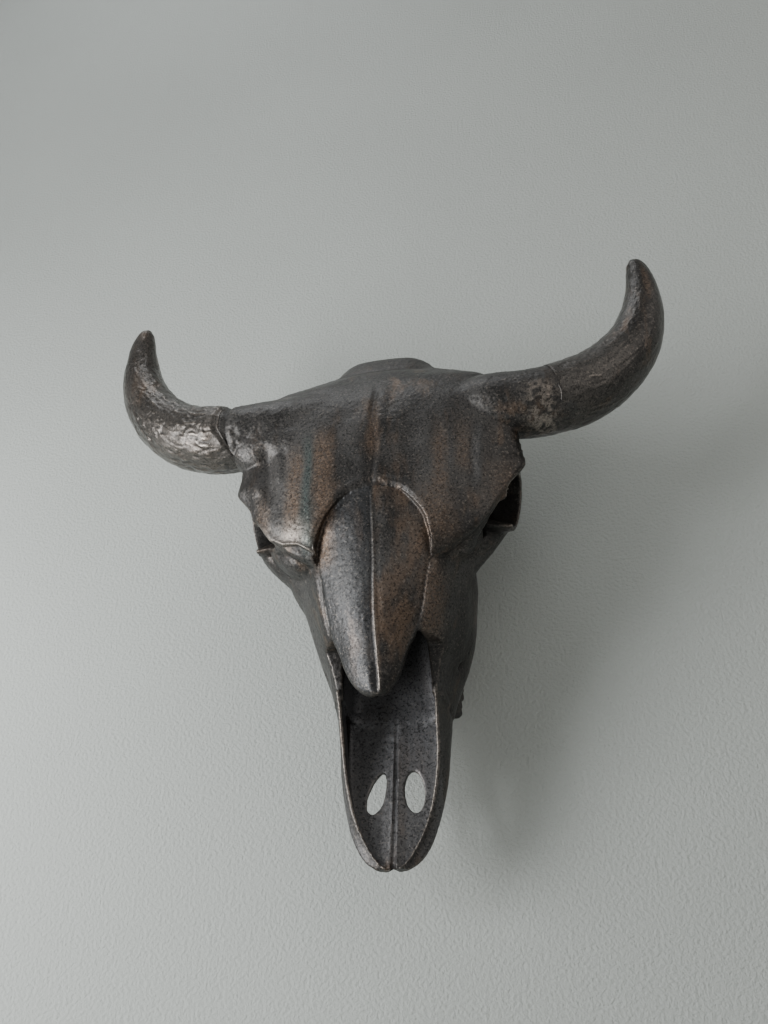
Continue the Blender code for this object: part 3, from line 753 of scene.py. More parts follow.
@dataclass(frozen=True)
class Patina:
    """The casting's dark patina, rubbed on its edges and stained in streaks, with painted shade in its
    hollows, painted highlights and glints, and painted fill light in the trough.
    """

    name: str
    deep: Colour = (0.034, 0.032, 0.031)
    grey: Colour = (0.088, 0.085, 0.083)
    warm: Colour = (0.190, 0.128, 0.088)
    teal: Colour = (0.080, 0.118, 0.112)
    steel: Colour = (0.050, 0.055, 0.062)
    dust: Colour = (0.185, 0.186, 0.196)
    soot: Colour = (0.012, 0.0115, 0.0115)
    rubbed: Colour = (0.27, 0.235, 0.205)
    roughness: tuple[float, float] = (0.36, 0.58)
    metallic: float = 0.82
    coat: float = 0.18
    grain: float = 0.75
    streaks: tuple[Streak, ...] = ()

    def make(self) -> bpy.types.Material:
        """Builds the material.

        Returns:
            The material, which reads the mesh's marks of wear and painted highlight, painted shade,
            dust and painted fill light, the nasal bones and the nasal tip.
        """
        graph = Graph(self.name)
        place = graph.place()
        axes = graph.node("ShaderNodeSeparateXYZ", {}, {"Vector": place})
        x, y, z = axes["X"], axes["Y"], axes["Z"]
        blotch = graph.clouds(graph.scaled(place, (1.0, 1.0, 0.45)), 17.0, 4.0, 0.6)
        speck = graph.clouds(place, 380.0, 4.0, 0.75)
        pepper = graph.clouds(place, 470.0, 2.0, 0.7)
        drift = graph.clouds(graph.scaled(place, (1.0, 1.0, 0.3)), 60.0, 3.0, 0.6)

        colour = graph.mix(blotch.step(0.36, 0.68), self.deep, self.grey)
        warm_share = drift.step(0.50, 0.72) * blotch.step(0.62, 0.38) * 0.55
        colour = graph.mix(warm_share, colour, self.warm)
        nasal = graph.mark("nasal")
        steel_share = (nasal * -1).step(0.2, 0.8) * (0.55 + 0.45 * speck)
        colour = graph.mix(steel_share * 0.55, colour, self.steel)
        colour = graph.mix(nasal.step(0.2, 0.8) * drift.step(0.36, 0.62) * 0.42, colour, self.warm)
        wander = (graph.clouds(graph.scaled(place, (1.0, 1.0, 0.4)), 38.0, 3.0) - 0.5) * 0.020
        front = y.step(-0.120, -0.150)
        for streak in self.streaks:
            across = abs(x + wander - streak.x).step(streak.half * 1.9, streak.half * 0.25)
            along = z.step(streak.bottom - 0.012, streak.bottom + 0.012) * z.step(
                streak.top + 0.024, streak.top - 0.020
            )
            broken = speck.step(0.36, 0.60) * 0.75 + 0.25
            share = across * along * front * broken * streak.strength
            colour = graph.mix(share, colour, getattr(self, streak.tint))
        # The pale worn colour shows real wear on raised edges and also the painted highlights on the
        # left brow and the left sheath.
        wear = graph.mark("wear")
        colour = graph.mix(wear * (0.4 + 0.6 * speck.step(0.35, 0.6)), colour, self.rubbed)
        colour = graph.mix(graph.mark("tip"), colour, self.deep)
        # Painted shade: the near-black colour darkens the creases and deep hollows that the mesh marks.
        colour = graph.mix(graph.mark("soot") * 0.92, colour, self.soot)
        # Pale dust on the trough's floor, which also stands as painted fill light where the lamps'
        # light doesn't reach.
        dust = graph.mark("dust")
        colour = graph.mix(dust * (0.65 + 0.35 * speck), colour, self.dust)
        freckles = pepper.step(0.52, 0.60) * speck.step(0.38, 0.52) * self.grain
        colour = graph.mix(freckles, colour, self.soot)
        # Painted glints: bright flecks in the worn colour, kept out of the painted shade.
        glint = pepper.step(0.48, 0.38) * speck.step(0.48, 0.60) * 0.6 * self.grain
        colour = graph.mix(glint * (1 - graph.mark("soot")), colour, self.rubbed)

        low, high = self.roughness
        rough = low + (high - low) * blotch.step(0.30, 0.70) + (speck - 0.5) * 0.16 - wear * 0.10
        rough = rough + graph.mark("soot") * 0.25 + dust * 0.15
        bump_height = speck * 0.6 + pepper * 0.4
        inputs = {"Strength": 0.7, "Distance": 0.0006, "Height": bump_height}
        bump = graph.node("ShaderNodeBump", {}, inputs)["Normal"]
        shader = graph.shader.inputs
        graph.feed(shader["Base Color"], colour)
        graph.feed(shader["Roughness"], rough)
        graph.feed(shader["Normal"], bump)
        graph.feed(shader["Metallic"], self.metallic)
        graph.feed(shader["Coat Weight"], self.coat)
        graph.feed(shader["Coat Roughness"], 0.3)
        return graph.material


@dataclass(frozen=True)
class Plating:
    """Plain zinc-plated steel."""

    name: str = "zinc_plate"
    base: Colour = (0.40, 0.40, 0.41)
    spangled: Colour = (0.27, 0.27, 0.285)

    def make(self) -> bpy.types.Material:
        """Builds the material.

        Returns:
            The material, mottled with the zinc's spangle.
        """
        graph = Graph(self.name)
        place = graph.place()
        spangle = graph.clouds(place, 260.0, 3.0)
        colour = graph.mix(spangle.step(0.3, 0.7), self.base, self.spangled)
        shader = graph.shader.inputs
        graph.feed(shader["Base Color"], colour)
        graph.feed(shader["Roughness"], 0.30 + 0.18 * spangle)
        graph.feed(shader["Metallic"], 1.0)
        return graph.material


@dataclass(frozen=True)
class Plaster:
    """Pale wall paint on rough plaster, solid from the front and clear from behind."""

    name: str
    base: Colour = (0.50, 0.53, 0.51)
    dapple: float = 0.0022

    def make(self) -> bpy.types.Material:
        """Builds the material.

        Returns:
            The material, which lets light and sight through from its back.
        """
        graph = Graph(self.name)
        place = graph.place()
        rise = graph.clouds(place, 270.0, 3.0, 0.6)
        shade = graph.clouds(place, 1.3, 2.0)
        darker = tuple(0.92 * part for part in self.base)
        shader = graph.shader.inputs
        graph.feed(shader["Base Color"], graph.mix(shade.step(0.3, 0.7), self.base, darker))
        graph.feed(shader["Roughness"], 0.85)
        inputs = {"Strength": 0.9, "Distance": self.dapple, "Height": rise}
        bump = graph.node("ShaderNodeBump", {}, inputs)
        graph.feed(shader["Normal"], bump["Normal"])
        behind = graph.node("ShaderNodeNewGeometry", {}, {})["Backfacing"]
        through = graph.node("ShaderNodeLightPath", {}, {})["Is Shadow Ray"]
        clear = graph.node("ShaderNodeBsdfTransparent", {}, {})[0]
        solid = Wire(graph, graph.shader.outputs[0])
        mixed = graph.node("ShaderNodeMixShader", {}, {0: behind | through, 1: solid, 2: clear})[0]
        graph.feed(graph.tree.nodes["Material Output"].inputs["Surface"], mixed)
        return graph.material


STREAKS = (
    Streak(-0.122, 0.026, 0.012, -0.105, "grey", 0.95),
    Streak(-0.083, 0.008, -0.105, -0.195, "warm", 0.70),
    Streak(-0.067, 0.006, -0.092, -0.215, "teal", 0.62),
    Streak(-0.050, 0.008, -0.088, -0.228, "warm", 0.85),
    Streak(-0.119, 0.007, -0.150, -0.190, "warm", 0.45),
    Streak(0.003, 0.005, -0.060, -0.118, "warm", 0.70),
    Streak(0.069, 0.006, -0.095, -0.165, "warm", 0.55),
    Streak(0.091, 0.007, -0.090, -0.140, "warm", 0.40),
    Streak(0.062, 0.015, -0.165, -0.215, "warm", 0.60),
    Streak(0.053, 0.010, -0.235, -0.325, "warm", 0.70),
    Streak(0.130, 0.012, -0.140, -0.180, "warm", 0.35),
)


@dataclass
class SkullCasting:
    """The skull cast in one piece: forehead, braincase, cheeks, jaw, nasals and premaxillae."""

    voxel: float = 1.25
    along: int = 84
    around: int = 84
    vault: tuple[Section, ...] = (
        Section(4, 138, 24, 136, 34, 118, 20, 98, 92),
        Section(14, 155, 36, 151, 54, 128, 34, 92, 84),
        Section(34, 163, 42, 158, 63, 136, 46, 92, 82),
        Section(62, 175, 62, 169, 96, 155, 62, 104, 90),
        Section(92, 187, 86, 184, 124, 167, 78, 118, 100),
        Section(125, 192.5, 94, 188, 139, 164, 80, 120, 100),
        Section(152, 192, 98, 184, 145, 158, 78, 122, 104),
        Section(178, 188, 94, 179, 149, 151, 84, 128, 106),
        Section(201, 182, 93, 174, 152, 147, 92, 132, 110),
        Section(215, 178, 90, 171, 142, 147, 88, 132, 111),
        Section(230, 174, 85, 168, 131, 148, 82, 131, 112),
        Section(250, 169, 77, 164, 120, 148, 76, 129, 112),
        Section(270, 163, 67, 159, 106, 146, 68, 125, 110),
        Section(283, 158, 58, 154, 93, 143, 61, 120, 108),
        Section(292, 154, 50, 150, 77, 140, 54, 117, 106),
        Section(299, 149, 38, 146, 60, 136, 44, 114, 104),
    )
    braincase: tuple[Section, ...] = (
        Section(8, 132, 62, 124, 88, 88, 52, 48, 46),
        Section(30, 150, 78, 136, 108, 92, 62, 42, 36),
        Section(58, 150, 82, 136, 106, 92, 56, 40, 34),
        Section(95, 150, 70, 134, 78, 96, 44, 44, 36),
        Section(140, 150, 62, 134, 66, 98, 34, 56, 44),
        Section(185, 150, 56, 134, 58, 100, 34, 62, 52),
        Section(225, 150, 58, 130, 62, 96, 44, 48, 40),
        Section(262, 146, 66, 124, 78, 82, 60, 26, 24),
    )
    muzzle: tuple[Section, ...] = (
        Section(225, 150, 50, 138, 74, 92, 56, 22, 30),
        Section(252, 152, 60, 134, 94, 84, 68, 8, 22),
        Section(276, 152, 62, 134, 97, 80, 73, 2, 14),
        Section(300, 148, 60, 131, 88, 66, 73, 0, 12),
        Section(325, 138, 56, 121, 82, 54, 71, 0, 10),
        Section(350, 126, 51, 108, 73, 48, 67, 0, 8),
        Section(375, 113, 47, 84, 62.5, 42, 60, 0, 6),
        Section(395, 90, 46, 68, 58, 34, 54, 2, 3),
        Section(412, 70, 45, 60, 55, 30, 50, 2, 0),
    )
    cavity: tuple[Section, ...] = (
        Section(280, 118, 18, 112, 24, 70, 20, 30, 26),
        Section(320, 128, 28, 116, 35, 66, 28, 25, 20),
        Section(360, 120, 36, 104, 41, 58, 36, 19, 15),
        Section(395, 112, 39, 96, 43, 48, 41, 13, 9.5),
        Section(440, 112, 39, 100, 43, 50, 41, 12, 8),
    )
    nasals: tuple[Nasal, ...] = (
        Nasal(232, 8, 8, 172, 0.5),
        Nasal(237, 25, 25, 171, 3),
        Nasal(249, 40, 39, 168, 6),
        Nasal(268, 52.5, 51, 163, 9.5),
        Nasal(290, 59.5, 55, 156.5, 18),
        Nasal(323, 55, 47.5, 145, 20),
        Nasal(350, 51, 41.5, 133.5, 21),
        Nasal(366, 46, 34, 126.5, 22),
        Nasal(378, 40.5, 28, 121, 19.5),
        Nasal(394, 34.5, 22.5, 114, 15.5),
        Nasal(410, 26, 16.5, 107.5, 11),
        Nasal(420, 16.5, 9.5, 103, 7),
        Nasal(426, 6, 4, 100.5, 3.5),
    )
    trough: tuple[Trough, ...] = (
        Trough(398, 57, 47.5, 64, 8.5),
        Trough(404.3, 56, 47, 60, 8),
        Trough(414, 55.3, 46.5, 53.5, 7),
        Trough(435, 53.5, 46, 41, 5),
        Trough(459, 52, 44.5, 30.5, 4),
        Trough(490, 47, 39.5, 21, 3),
        Trough(515, 40.5, 31.5, 15, 2.5),
        Trough(533, 32.5, 22, 11, 2.5),
        Trough(544, 24, 14, 9, 3),
        Trough(550, 15, 7, 8, 4),
    )
    nasal_thickness: float = 7.0
    trough_thickness: float = 5.5
    cheek_skew: tuple[tuple[float, float], ...] = (
        (170, 0),
        (205, 4),
        (235, 4.5),
        (252, 7),
        (272, 7.5),
        (286, 6),
        (300, 3),
        (330, 0),
    )
    arch: tuple[Stretch, ...] = (
        Stretch(78, 284, 76, 9, 20),
        Stretch(94, 270, 86, 8.5, 18),
        Stretch(111, 256, 93, 8.5, 15),
        Stretch(123.5, 240, 97, 8, 13),
        Stretch(133, 222, 99, 7, 12),
        Stretch(138, 200, 100, 6.5, 13),
        Stretch(138, 165, 99, 6, 11),
        Stretch(131, 128, 97, 6.5, 10),
        Stretch(118, 96, 97, 9, 11),
        Stretch(96, 74, 98, 12, 14),
    )
    orbit_cup: tuple[Stretch, ...] = (
        Stretch(52, 206, 112, 27, 27),
        Stretch(92, 215, 116, 34, 33),
        Stretch(120, 222, 119, 35, 32),
        Stretch(139, 226, 119, 32, 26.5),
    )
    brow_rim: tuple[Stretch, ...] = (
        Stretch(143, 200, 148, 6, 6),
        Stretch(129, 226, 146, 5, 6),
        Stretch(112, 252, 142, 5.5, 7),
        Stretch(96, 270, 133, 6.5, 8),
        Stretch(84, 281, 116, 7, 10),
    )
    lacrimal: tuple[Stretch, ...] = (
        Stretch(50, 286, 118, 13, 19),
        Stretch(76, 277, 116, 14, 21),
        Stretch(94, 264, 112, 11, 20),
        Stretch(104, 255, 108, 8, 16),
    )
    socket: tuple[Stretch, ...] = (
        Stretch(176, 236, 127, 30, 27),
        Stretch(142, 228, 123, 28, 25),
        Stretch(115, 221, 120, 26, 23),
        Stretch(90, 215, 116, 19, 18),
        Stretch(74, 211, 113, 9, 9),
    )
    socket_mouth: tuple[Stretch, ...] = (
        Stretch(178, 250, 131.5, 23, 15.5),
        Stretch(142, 249, 131, 21.5, 14.5),
        Stretch(122, 249, 130.5, 17.5, 11.5),
        Stretch(109, 247, 130, 13.5, 9),
        Stretch(99, 244, 127, 6, 5),
    )
    alveolar: tuple[Stretch, ...] = (
        Stretch(50, 394, 2, 6, 7),
        Stretch(55, 366, 3, 10.5, 9),
        Stretch(59, 330, 4, 13, 10),
        Stretch(61, 290, 5, 13.5, 11),
        Stretch(61, 256, 7, 13.5, 12),
        Stretch(58, 232, 12, 8, 8),
    )
    wing: tuple[Stretch, ...] = (
        Stretch(30, 266, 30, 4, 20),
        Stretch(29, 240, 34, 3.5, 22),
        Stretch(28, 214, 42, 3.5, 20),
        Stretch(26, 190, 52, 4, 14),
        Stretch(24, 172, 60, 5, 8),
    )
    horn_core: tuple[Stretch, ...] = (
        Stretch(84, 118, 152, 30, 26),
        Stretch(104, 121, 158, 35, 33),
        Stretch(126, 124, 161, 37, 36),
        Stretch(158, 127, 161, 37.2, 37.2),
        Stretch(176, 125, 160.2, 37.6, 37.3),
        Stretch(192, 120, 158.5, 37.2, 36.8),
        Stretch(206, 114, 157, 35, 35),
    )
    root_web: tuple[Stretch, ...] = (
        Stretch(60, 150, 160, 30, 25),
        Stretch(100, 150, 160, 32, 28),
        Stretch(128, 149, 158, 31, 28),
        Stretch(140, 146, 157, 28, 27),
        Stretch(147, 143, 156, 22, 21),
    )
    root_ridge: tuple[Stretch, ...] = (
        Stretch(30, 116, 160, 34, 30),
        Stretch(62, 118, 160, 38, 32.5),
        Stretch(90, 121, 160, 39, 34.8),
        Stretch(120, 124, 160, 39, 36.5),
        Stretch(140, 126, 160.5, 37.5, 36.8),
    )
    left_lip: Path = (
        (-151, 201, 147),
        (-137, 227, 147),
        (-131, 233, 147),
        (-118, 254, 147),
        (-108, 267, 146),
        (-93, 277, 145),
        (-77, 280, 145),
        (-61, 290, 144),
    )
    right_lip: Path = (
        (151, 198, 147),
        (136, 223, 147),
        (122, 250, 147),
        (107, 271, 146),
        (99, 280, 144),
        (84, 290, 141),
        (62, 302, 137),
    )
    furrows: tuple[Furrow, ...] = (
        Furrow(((-123, 160), (-116, 176), (-113, 196), (-110, 218), (-104, 238)), -4.4, 7.5),
        Furrow(((-130, 178), (-127, 200), (-120, 222)), 1.6, 7.0),
        Furrow(((-96, 168), (-93, 190), (-93, 214)), -1.6, 5.0),
        Furrow(((-104, 168), (-101, 190), (-99, 214)), 0.8, 4.5),
        Furrow(((101, 172), (99, 200), (98, 222), (99, 246)), -3.4, 7.5),
        Furrow(((117, 158), (112, 184), (109, 208), (111, 234)), 2.2, 7.0),
        Furrow(((36, 140), (42, 175), (44, 205)), -1.6, 9.0),
        Furrow(((-30, 130), (-34, 165), (-30, 200)), -1.2, 10.0),
        Furrow(((68, 150), (72, 190), (74, 226)), -1.4, 8.0),
    )
    neck_line: float = -3.0
    nostril_slope: float = math.radians(23)
    deepest_cut: float = -7.0
    proudest_rise: float = 2.4
    pit_count: int = 420
    bar_stations: int = 40
    bar_sides: int = 32

    def skew(self, forward: Array) -> Array:
        """How far left of their mirrored places the cheeks stand, in millimetres."""
        stations, offsets = zip(*self.cheek_skew)
        return ease(stations, offsets, forward)

    def section_rings(self, rows: Sequence[Section], skewed: bool = False) -> Array:
        """Makes the rings of a body from its cross-sections.

        Args:
            rows: The sections, from the back forward.
            skewed: Its sides follow the face's skew.

        Returns:
            Rings of places in table millimetres.
        """
        stations = sampled(rows, self.along)
        f, crown, shoulder_w, shoulder_h, side_w, side_h, base_w, base_h, keel = stations
        shift = self.skew(f) if skewed else np.zeros_like(f)
        zero = np.zeros_like(f)
        outline = [
            (zero, crown),
            (shoulder_w, shoulder_h),
            (side_w - shift, side_h),
            (base_w, base_h),
            (zero, keel),
            (-base_w, base_h),
            (-side_w - shift, side_h),
            (-shoulder_w, shoulder_h),
        ]
        controls = np.stack([np.stack(pair, axis=1) for pair in outline], axis=1)
        curves = closed_curves(controls, self.around // len(outline))
        forward = np.repeat(f[:, None], curves.shape[1], axis=1)
        return np.stack([curves[..., 0], forward, curves[..., 1]], axis=2)

    def bar(
        self, shop: Workshop, name: str, rows: Sequence[Stretch], side: Side, skewed: bool = False
    ) -> bpy.types.Object:
        """Makes a bent bar with an elliptic section.

        Args:
            shop: The workshop.
            name: The bar's name.
            rows: Its stations, on the right side.
            side: The side it is made for.
            skewed: It follows the face's skew.

        Returns:
            The bar on the bench.
        """
        table = np.array(rows, float)
        lengths = lengths_along(table[:, :3])
        at = np.linspace(0, lengths[-1], self.bar_stations)
        x, f, h, thick, tall = (ease(lengths, table[:, k], at) for k in range(5))
        x = side.value * x - (self.skew(f) if skewed else 0)
        centres = np.stack([x, f, h], axis=1)
        across, upward = cross_axes(centres)
        turn = np.linspace(0, 2 * math.pi, self.bar_sides, endpoint=False)
        rings = (
            centres[:, None, :]
            + across[:, None, :] * (thick[:, None] * np.cos(turn))[..., None]
            + upward[:, None, :] * (tall[:, None] * np.sin(turn))[..., None]
        )
        return shop.loft(name, rings)

    def positives(self, shop: Workshop) -> list[bpy.types.Object]:
        """Makes the solids that the skull is melted from.

        Args:
            shop: The workshop.

        Returns:
            The solids on the bench.
        """
        parts = [
            shop.loft("vault", self.section_rings(self.vault)),
            shop.loft("braincase", self.section_rings(self.braincase)),
            shop.loft("muzzle", self.section_rings(self.muzzle, skewed=True)),
            self.bar(shop, "root_web", self.root_web, Side.LEFT),
            self.bar(shop, "root_ridge", self.root_ridge, Side.LEFT),
        ]
        for side in Side:
            s = side.value
            parts += [
                self.bar(shop, "arch", self.arch, side, skewed=True),
                self.bar(shop, "orbit_cup", self.orbit_cup, side),
                self.bar(shop, "brow_rim", self.brow_rim, side),
                self.bar(shop, "lacrimal", self.lacrimal, side, skewed=True),
                self.bar(shop, "alveolar", self.alveolar, side),
                self.bar(shop, "wing", self.wing, side),
                self.bar(shop, "horn_core", self.horn_core, side),
                shop.ball("condyle", (s * 30, 6, 50), (22, 20, 25), tilt=-0.3),
                shop.ball("jugular", (s * 66, 44, 30), (13, 15, 27), tilt=0.15),
                shop.ball("ear_dome", (s * 46, 92, 40), (17, 22, 18)),
            ]
        return parts

    def hollows(self, shop: Workshop) -> list[bpy.types.Object]:
        """Makes the solids that are cut out of it.

        Args:
            shop: The workshop.

        Returns:
            The solids on the bench.
        """
        parts = [
            shop.loft("nose_hollow", self.section_rings(self.cavity)),
            shop.ball("foramen_magnum", (0, 2, 66), (18, 40, 17)),
            shop.ball("choana", (0, 214, 34), (20, 44, 30)),
            shop.block("nostril_side", (-70, 362, 80), (70, 450, 170)),
            shop.block(
                "nostril_edge", (-70, 362, 78), (70, 450, 140), self.nostril_slope, (0, 362, 78)
            ),
            shop.block("jaw_front", (-90, 404, -40), (90, 460, 150)),
            self.nasal_seat(shop),
        ]
        for side in Side:
            s = side.value
            parts.append(self.bar(shop, "socket", self.socket, side))
            parts.append(self.bar(shop, "socket_mouth", self.socket_mouth, side))
            low, high = sorted((s * 40, s * 84))
            parts.append(shop.block("neck", (low, 225, -30), (high, 402, self.neck_line)))
        return parts

    def nasal_widths(self, forward: Array, x: Array) -> Array:
        """The nasal shield's width on the side where x lies."""
        table = columns(self.nasals)
        return np.where(x < 0, ease(table[0], table[1], forward), ease(table[0], table[2], forward))

    def nasal_grid(self, along: int, across: int, room: float) -> tuple[Array, Array, Array, Array]:
        """Places over the nasal shield.

        Args:
            along: Stations from its root to its tip.
            across: Places from edge to edge.
            room: How far to reach past its edges, in millimetres.

        Returns:
            Each place's x, its distance forward, the plain height of the shield and its bulge.
        """
        f, left, right, ridge, drop = (column[:, None] for column in sampled(self.nasals, along))
        share = np.linspace(-1, 1, across)[None, :]
        width = np.where(share < 0, left, right)
        x = (width + room) * share
        inner = np.minimum(abs(x) / width, 1)
        bulge = 1.4 * np.sin(math.pi * np.minimum(inner * 1.15, 1)) * width / 57
        return x, np.repeat(f, across, axis=1), ridge - drop * inner**2.1, bulge

    def nasal_seat(self, shop: Workshop) -> bpy.types.Object:
        """Makes the room for the nasal shield in the forehead and the muzzle.

        Args:
            shop: The workshop.

        Returns:
            The cutter on the bench.
        """
        x, level, height, _ = self.nasal_grid(70, 41, 0.5)
        low = np.stack([x, level, height - self.nasal_thickness + 0.8], axis=2)
        high = low[:, ::-1] + np.array([0, 0, 60.0])
        rings = np.concatenate([low, high], axis=1)
        return shop.loft("nasal_seat", np.concatenate([rings[:1] - np.array([0, 1.0, 0]), rings]))

    def nasal_shield(self, shop: Workshop) -> bpy.types.Object:
        """Makes both nasal bones as one plate.

        Args:
            shop: The workshop.

        Returns:
            The plate on the bench.
        """
        x, level, height, bulge = self.nasal_grid(120, 61, 0.0)
        upper = np.stack([x, level, height + bulge], axis=2)
        lower = upper[:, ::-1] - np.array([0, 0, self.nasal_thickness])
        return shop.loft("nasal_shield", np.concatenate([upper, lower], axis=1))

    def premaxillae(self, shop: Workshop) -> bpy.types.Object:
        """Makes the trough at the front of the jaw, with its raised rims and two oval openings.

        Args:
            shop: The workshop.

        Returns:
            The trough on the bench.
        """
        f, outer, rim_w, rim_h, floor = sampled(self.trough, 110)
        thick = self.trough_thickness
        inner = np.maximum(rim_w - 1.5, 1.2)
        floor_in = np.maximum(outer - thick - 3.5, 0.9)
        low = floor - thick
        right = [
            (np.minimum(3.0, floor_in * 0.4), floor + 2.6),
            (np.minimum(6.5, floor_in * 0.7), floor),
            (floor_in, floor + 0.6),
            ((floor_in + inner) / 2 + 0.6, (floor + rim_h) / 2),
            (inner, rim_h - 0.8),
            (rim_w + 0.6, rim_h + 0.2),
            (rim_w + 2.4, rim_h - 1.4),
            (outer, floor + 0.35 * (rim_h - floor)),
            (outer - 0.8, low + 3.4),
            (outer - 4.5, low + 0.6),
            (np.maximum(floor_in * 0.5, 0.7), low),
        ]
        zero = np.zeros_like(f)
        left = [(-x, h) for x, h in reversed(right)]
        outline = [(zero, floor + 0.4), *right, (zero, low), *left]
        controls = np.stack([np.stack(pair, axis=1) for pair in outline], axis=1)
        curves = closed_curves(controls, 4)
        level = np.repeat(f[:, None], curves.shape[1], axis=1)
        body = shop.loft("premaxillae", np.stack([curves[..., 0], level, curves[..., 1]], axis=2))
        return shop.combine("DIFFERENCE", [body, *(self.foramen(shop, side) for side in Side)])

    def foramen(self, shop: Workshop, side: Side) -> bpy.types.Object:
        """Makes one opening through the trough's floor, an oval that narrows backward on the left.

        Args:
            shop: The workshop.
            side: The side it is for.

        Returns:
            The cutter on the bench.
        """
        turn = np.linspace(0, 2 * math.pi, 48, endpoint=False)
        taper = 0.42 if side is Side.LEFT else 0.12
        y = 21.0 * np.cos(turn)
        x = (10.0 - taper * 10.0 * (1 - np.cos(turn)) / 2) * np.sin(turn)
        lean = math.radians(14 if side is Side.LEFT else 6)
        px = side.value * (18.0 + x * math.cos(lean) + y * math.sin(lean))
        py = 475 - x * math.sin(lean) + y * math.cos(lean)
        ring = np.stack([px, py, np.full_like(px, -30.0)], axis=1)
        return shop.loft("foramen", np.stack([ring, ring + np.array([0, 0, 60.0])]))

    def cast(self, shop: Workshop) -> bpy.types.Object:
        """Melts the skull together.

        Args:
            shop: The workshop.

        Returns:
            One skin, still plain.
        """
        mass = shop.combine("UNION", self.positives(shop))
        mass = shop.combine("DIFFERENCE", [mass, *self.hollows(shop)])
        pieces = [mass, self.nasal_shield(shop), self.premaxillae(shop)]
        return shop.fuse("skull_casting", pieces, self.voxel, 3)

    def chase(self, obj: bpy.types.Object) -> None:
        """Works the grooves, ridges, seams and pits into the skin.

        Args:
            obj: The plain casting.
        """
        skin = Skin(obj)
        self.soften_joins(skin)
        up = ramp(skin.normals[:, 2], 0.15, 0.55)
        skin.offset += self.forehead_marks(skin.points, up)
        skin.offset += self.brow_marks(skin.points)
        skin.offset += self.nasal_marks(skin.points, up)
        skin.offset += self.cheek_marks(skin.points, skin.normals)
        skin.offset += self.trough_marks(skin.points, skin.normals)
        skin.offset += self.horn_root_marks(skin.points)
        skin.offset += self.surface_grain(skin.points)
        skin.offset += self.pits(skin.points, seed=11)
        skin.offset = np.clip(skin.offset, self.deepest_cut, self.proudest_rise)
        skin.press()
        self.mark_finish(skin)

    def mark_finish(self, skin: Skin) -> None:
        """Marks where the metal is worn or carries painted highlight, where painted shade darkens it,
        where it is dusty or carries painted fill light, and where the nasal bones are.

        Args:
            skin: The chased casting.
        """
        stands = skin.standing(14)
        # Painted shade deep in the nasal cavity and the eye sockets, where no wear is painted.
        inside = self.inside(skin.points, skin.normals)
        x, f, h = skin.points.T
        rubbed = ramp(stands, 0.24, 1.15) * (1 - inside) * (1 - 0.7 * ramp(x, 160, 168))
        rubbed *= 1 - 0.92 * bell(x - self.nasal_widths(f, x), 9) * ramp(f, 238, 250) * (x > 0)
        spot = bell(x - 173, 13) * ramp(f, 126, 142) * ramp(f, 170, 160) * ramp(h, 140, 150)
        rubbed += spot * ramp(noise(skin.points, 3.4, 53), -0.3, 0.2) * 1.6
        # Painted highlight on the left brow, where the window lamp's light falls: a band behind its lip
        # and a bright spot near its inner end.
        distance, share = near_path(skin.points, self.left_lip)
        behind = ramp(f - self.lip_line(self.left_lip, x), 3, 0) * (x < -55) * (h > 125)
        rubbed += behind * bell(distance, 9) * ramp(share, 0.40, 0.60) * 0.32
        rubbed += behind * bell(np.hypot(x + 80, f - 268), 12) * 1.1
        sill = np.linalg.norm(skin.points - np.array([-130.0, 246.0, 114.0]), axis=1)
        skin.mark("wear", np.minimum(rubbed * (1 - 0.9 * bell(sill, 16)), 1))
        # Pale dust with painted fill light in the trough.
        skin.mark("dust", self.pale_dust_and_fill_light(skin.points, skin.normals))
        width = self.nasal_widths(f, x)
        seam = bell(abs(x) - width, 10) * ramp(f, 228, 236) * ramp(f, 330, 300) * (h > 118)
        # Painted shade: darker in the creases, and deep in the nasal cavity and the eye sockets.
        crease_shade = np.clip((-stands - 0.14) / 1.1, 0, 0.8) * (1 - 0.6 * seam)
        skin.mark("soot", np.maximum(crease_shade, inside))
        faces_up = ramp(skin.normals[:, 2], 0.1, 0.3)
        on_nasal = ramp(width - abs(x), -1, 3) * (f > 233) * (f < 428) * faces_up
        on_nasal *= h > self.nasal_under(x, f) + 2
        skin.mark("nasal", on_nasal * np.clip(x / 1.5, -1, 1))
        skin.mark("tip", on_nasal * ramp(x, 1, 6) * ramp(f + 0.4 * x, 392, 412) * 0.9)

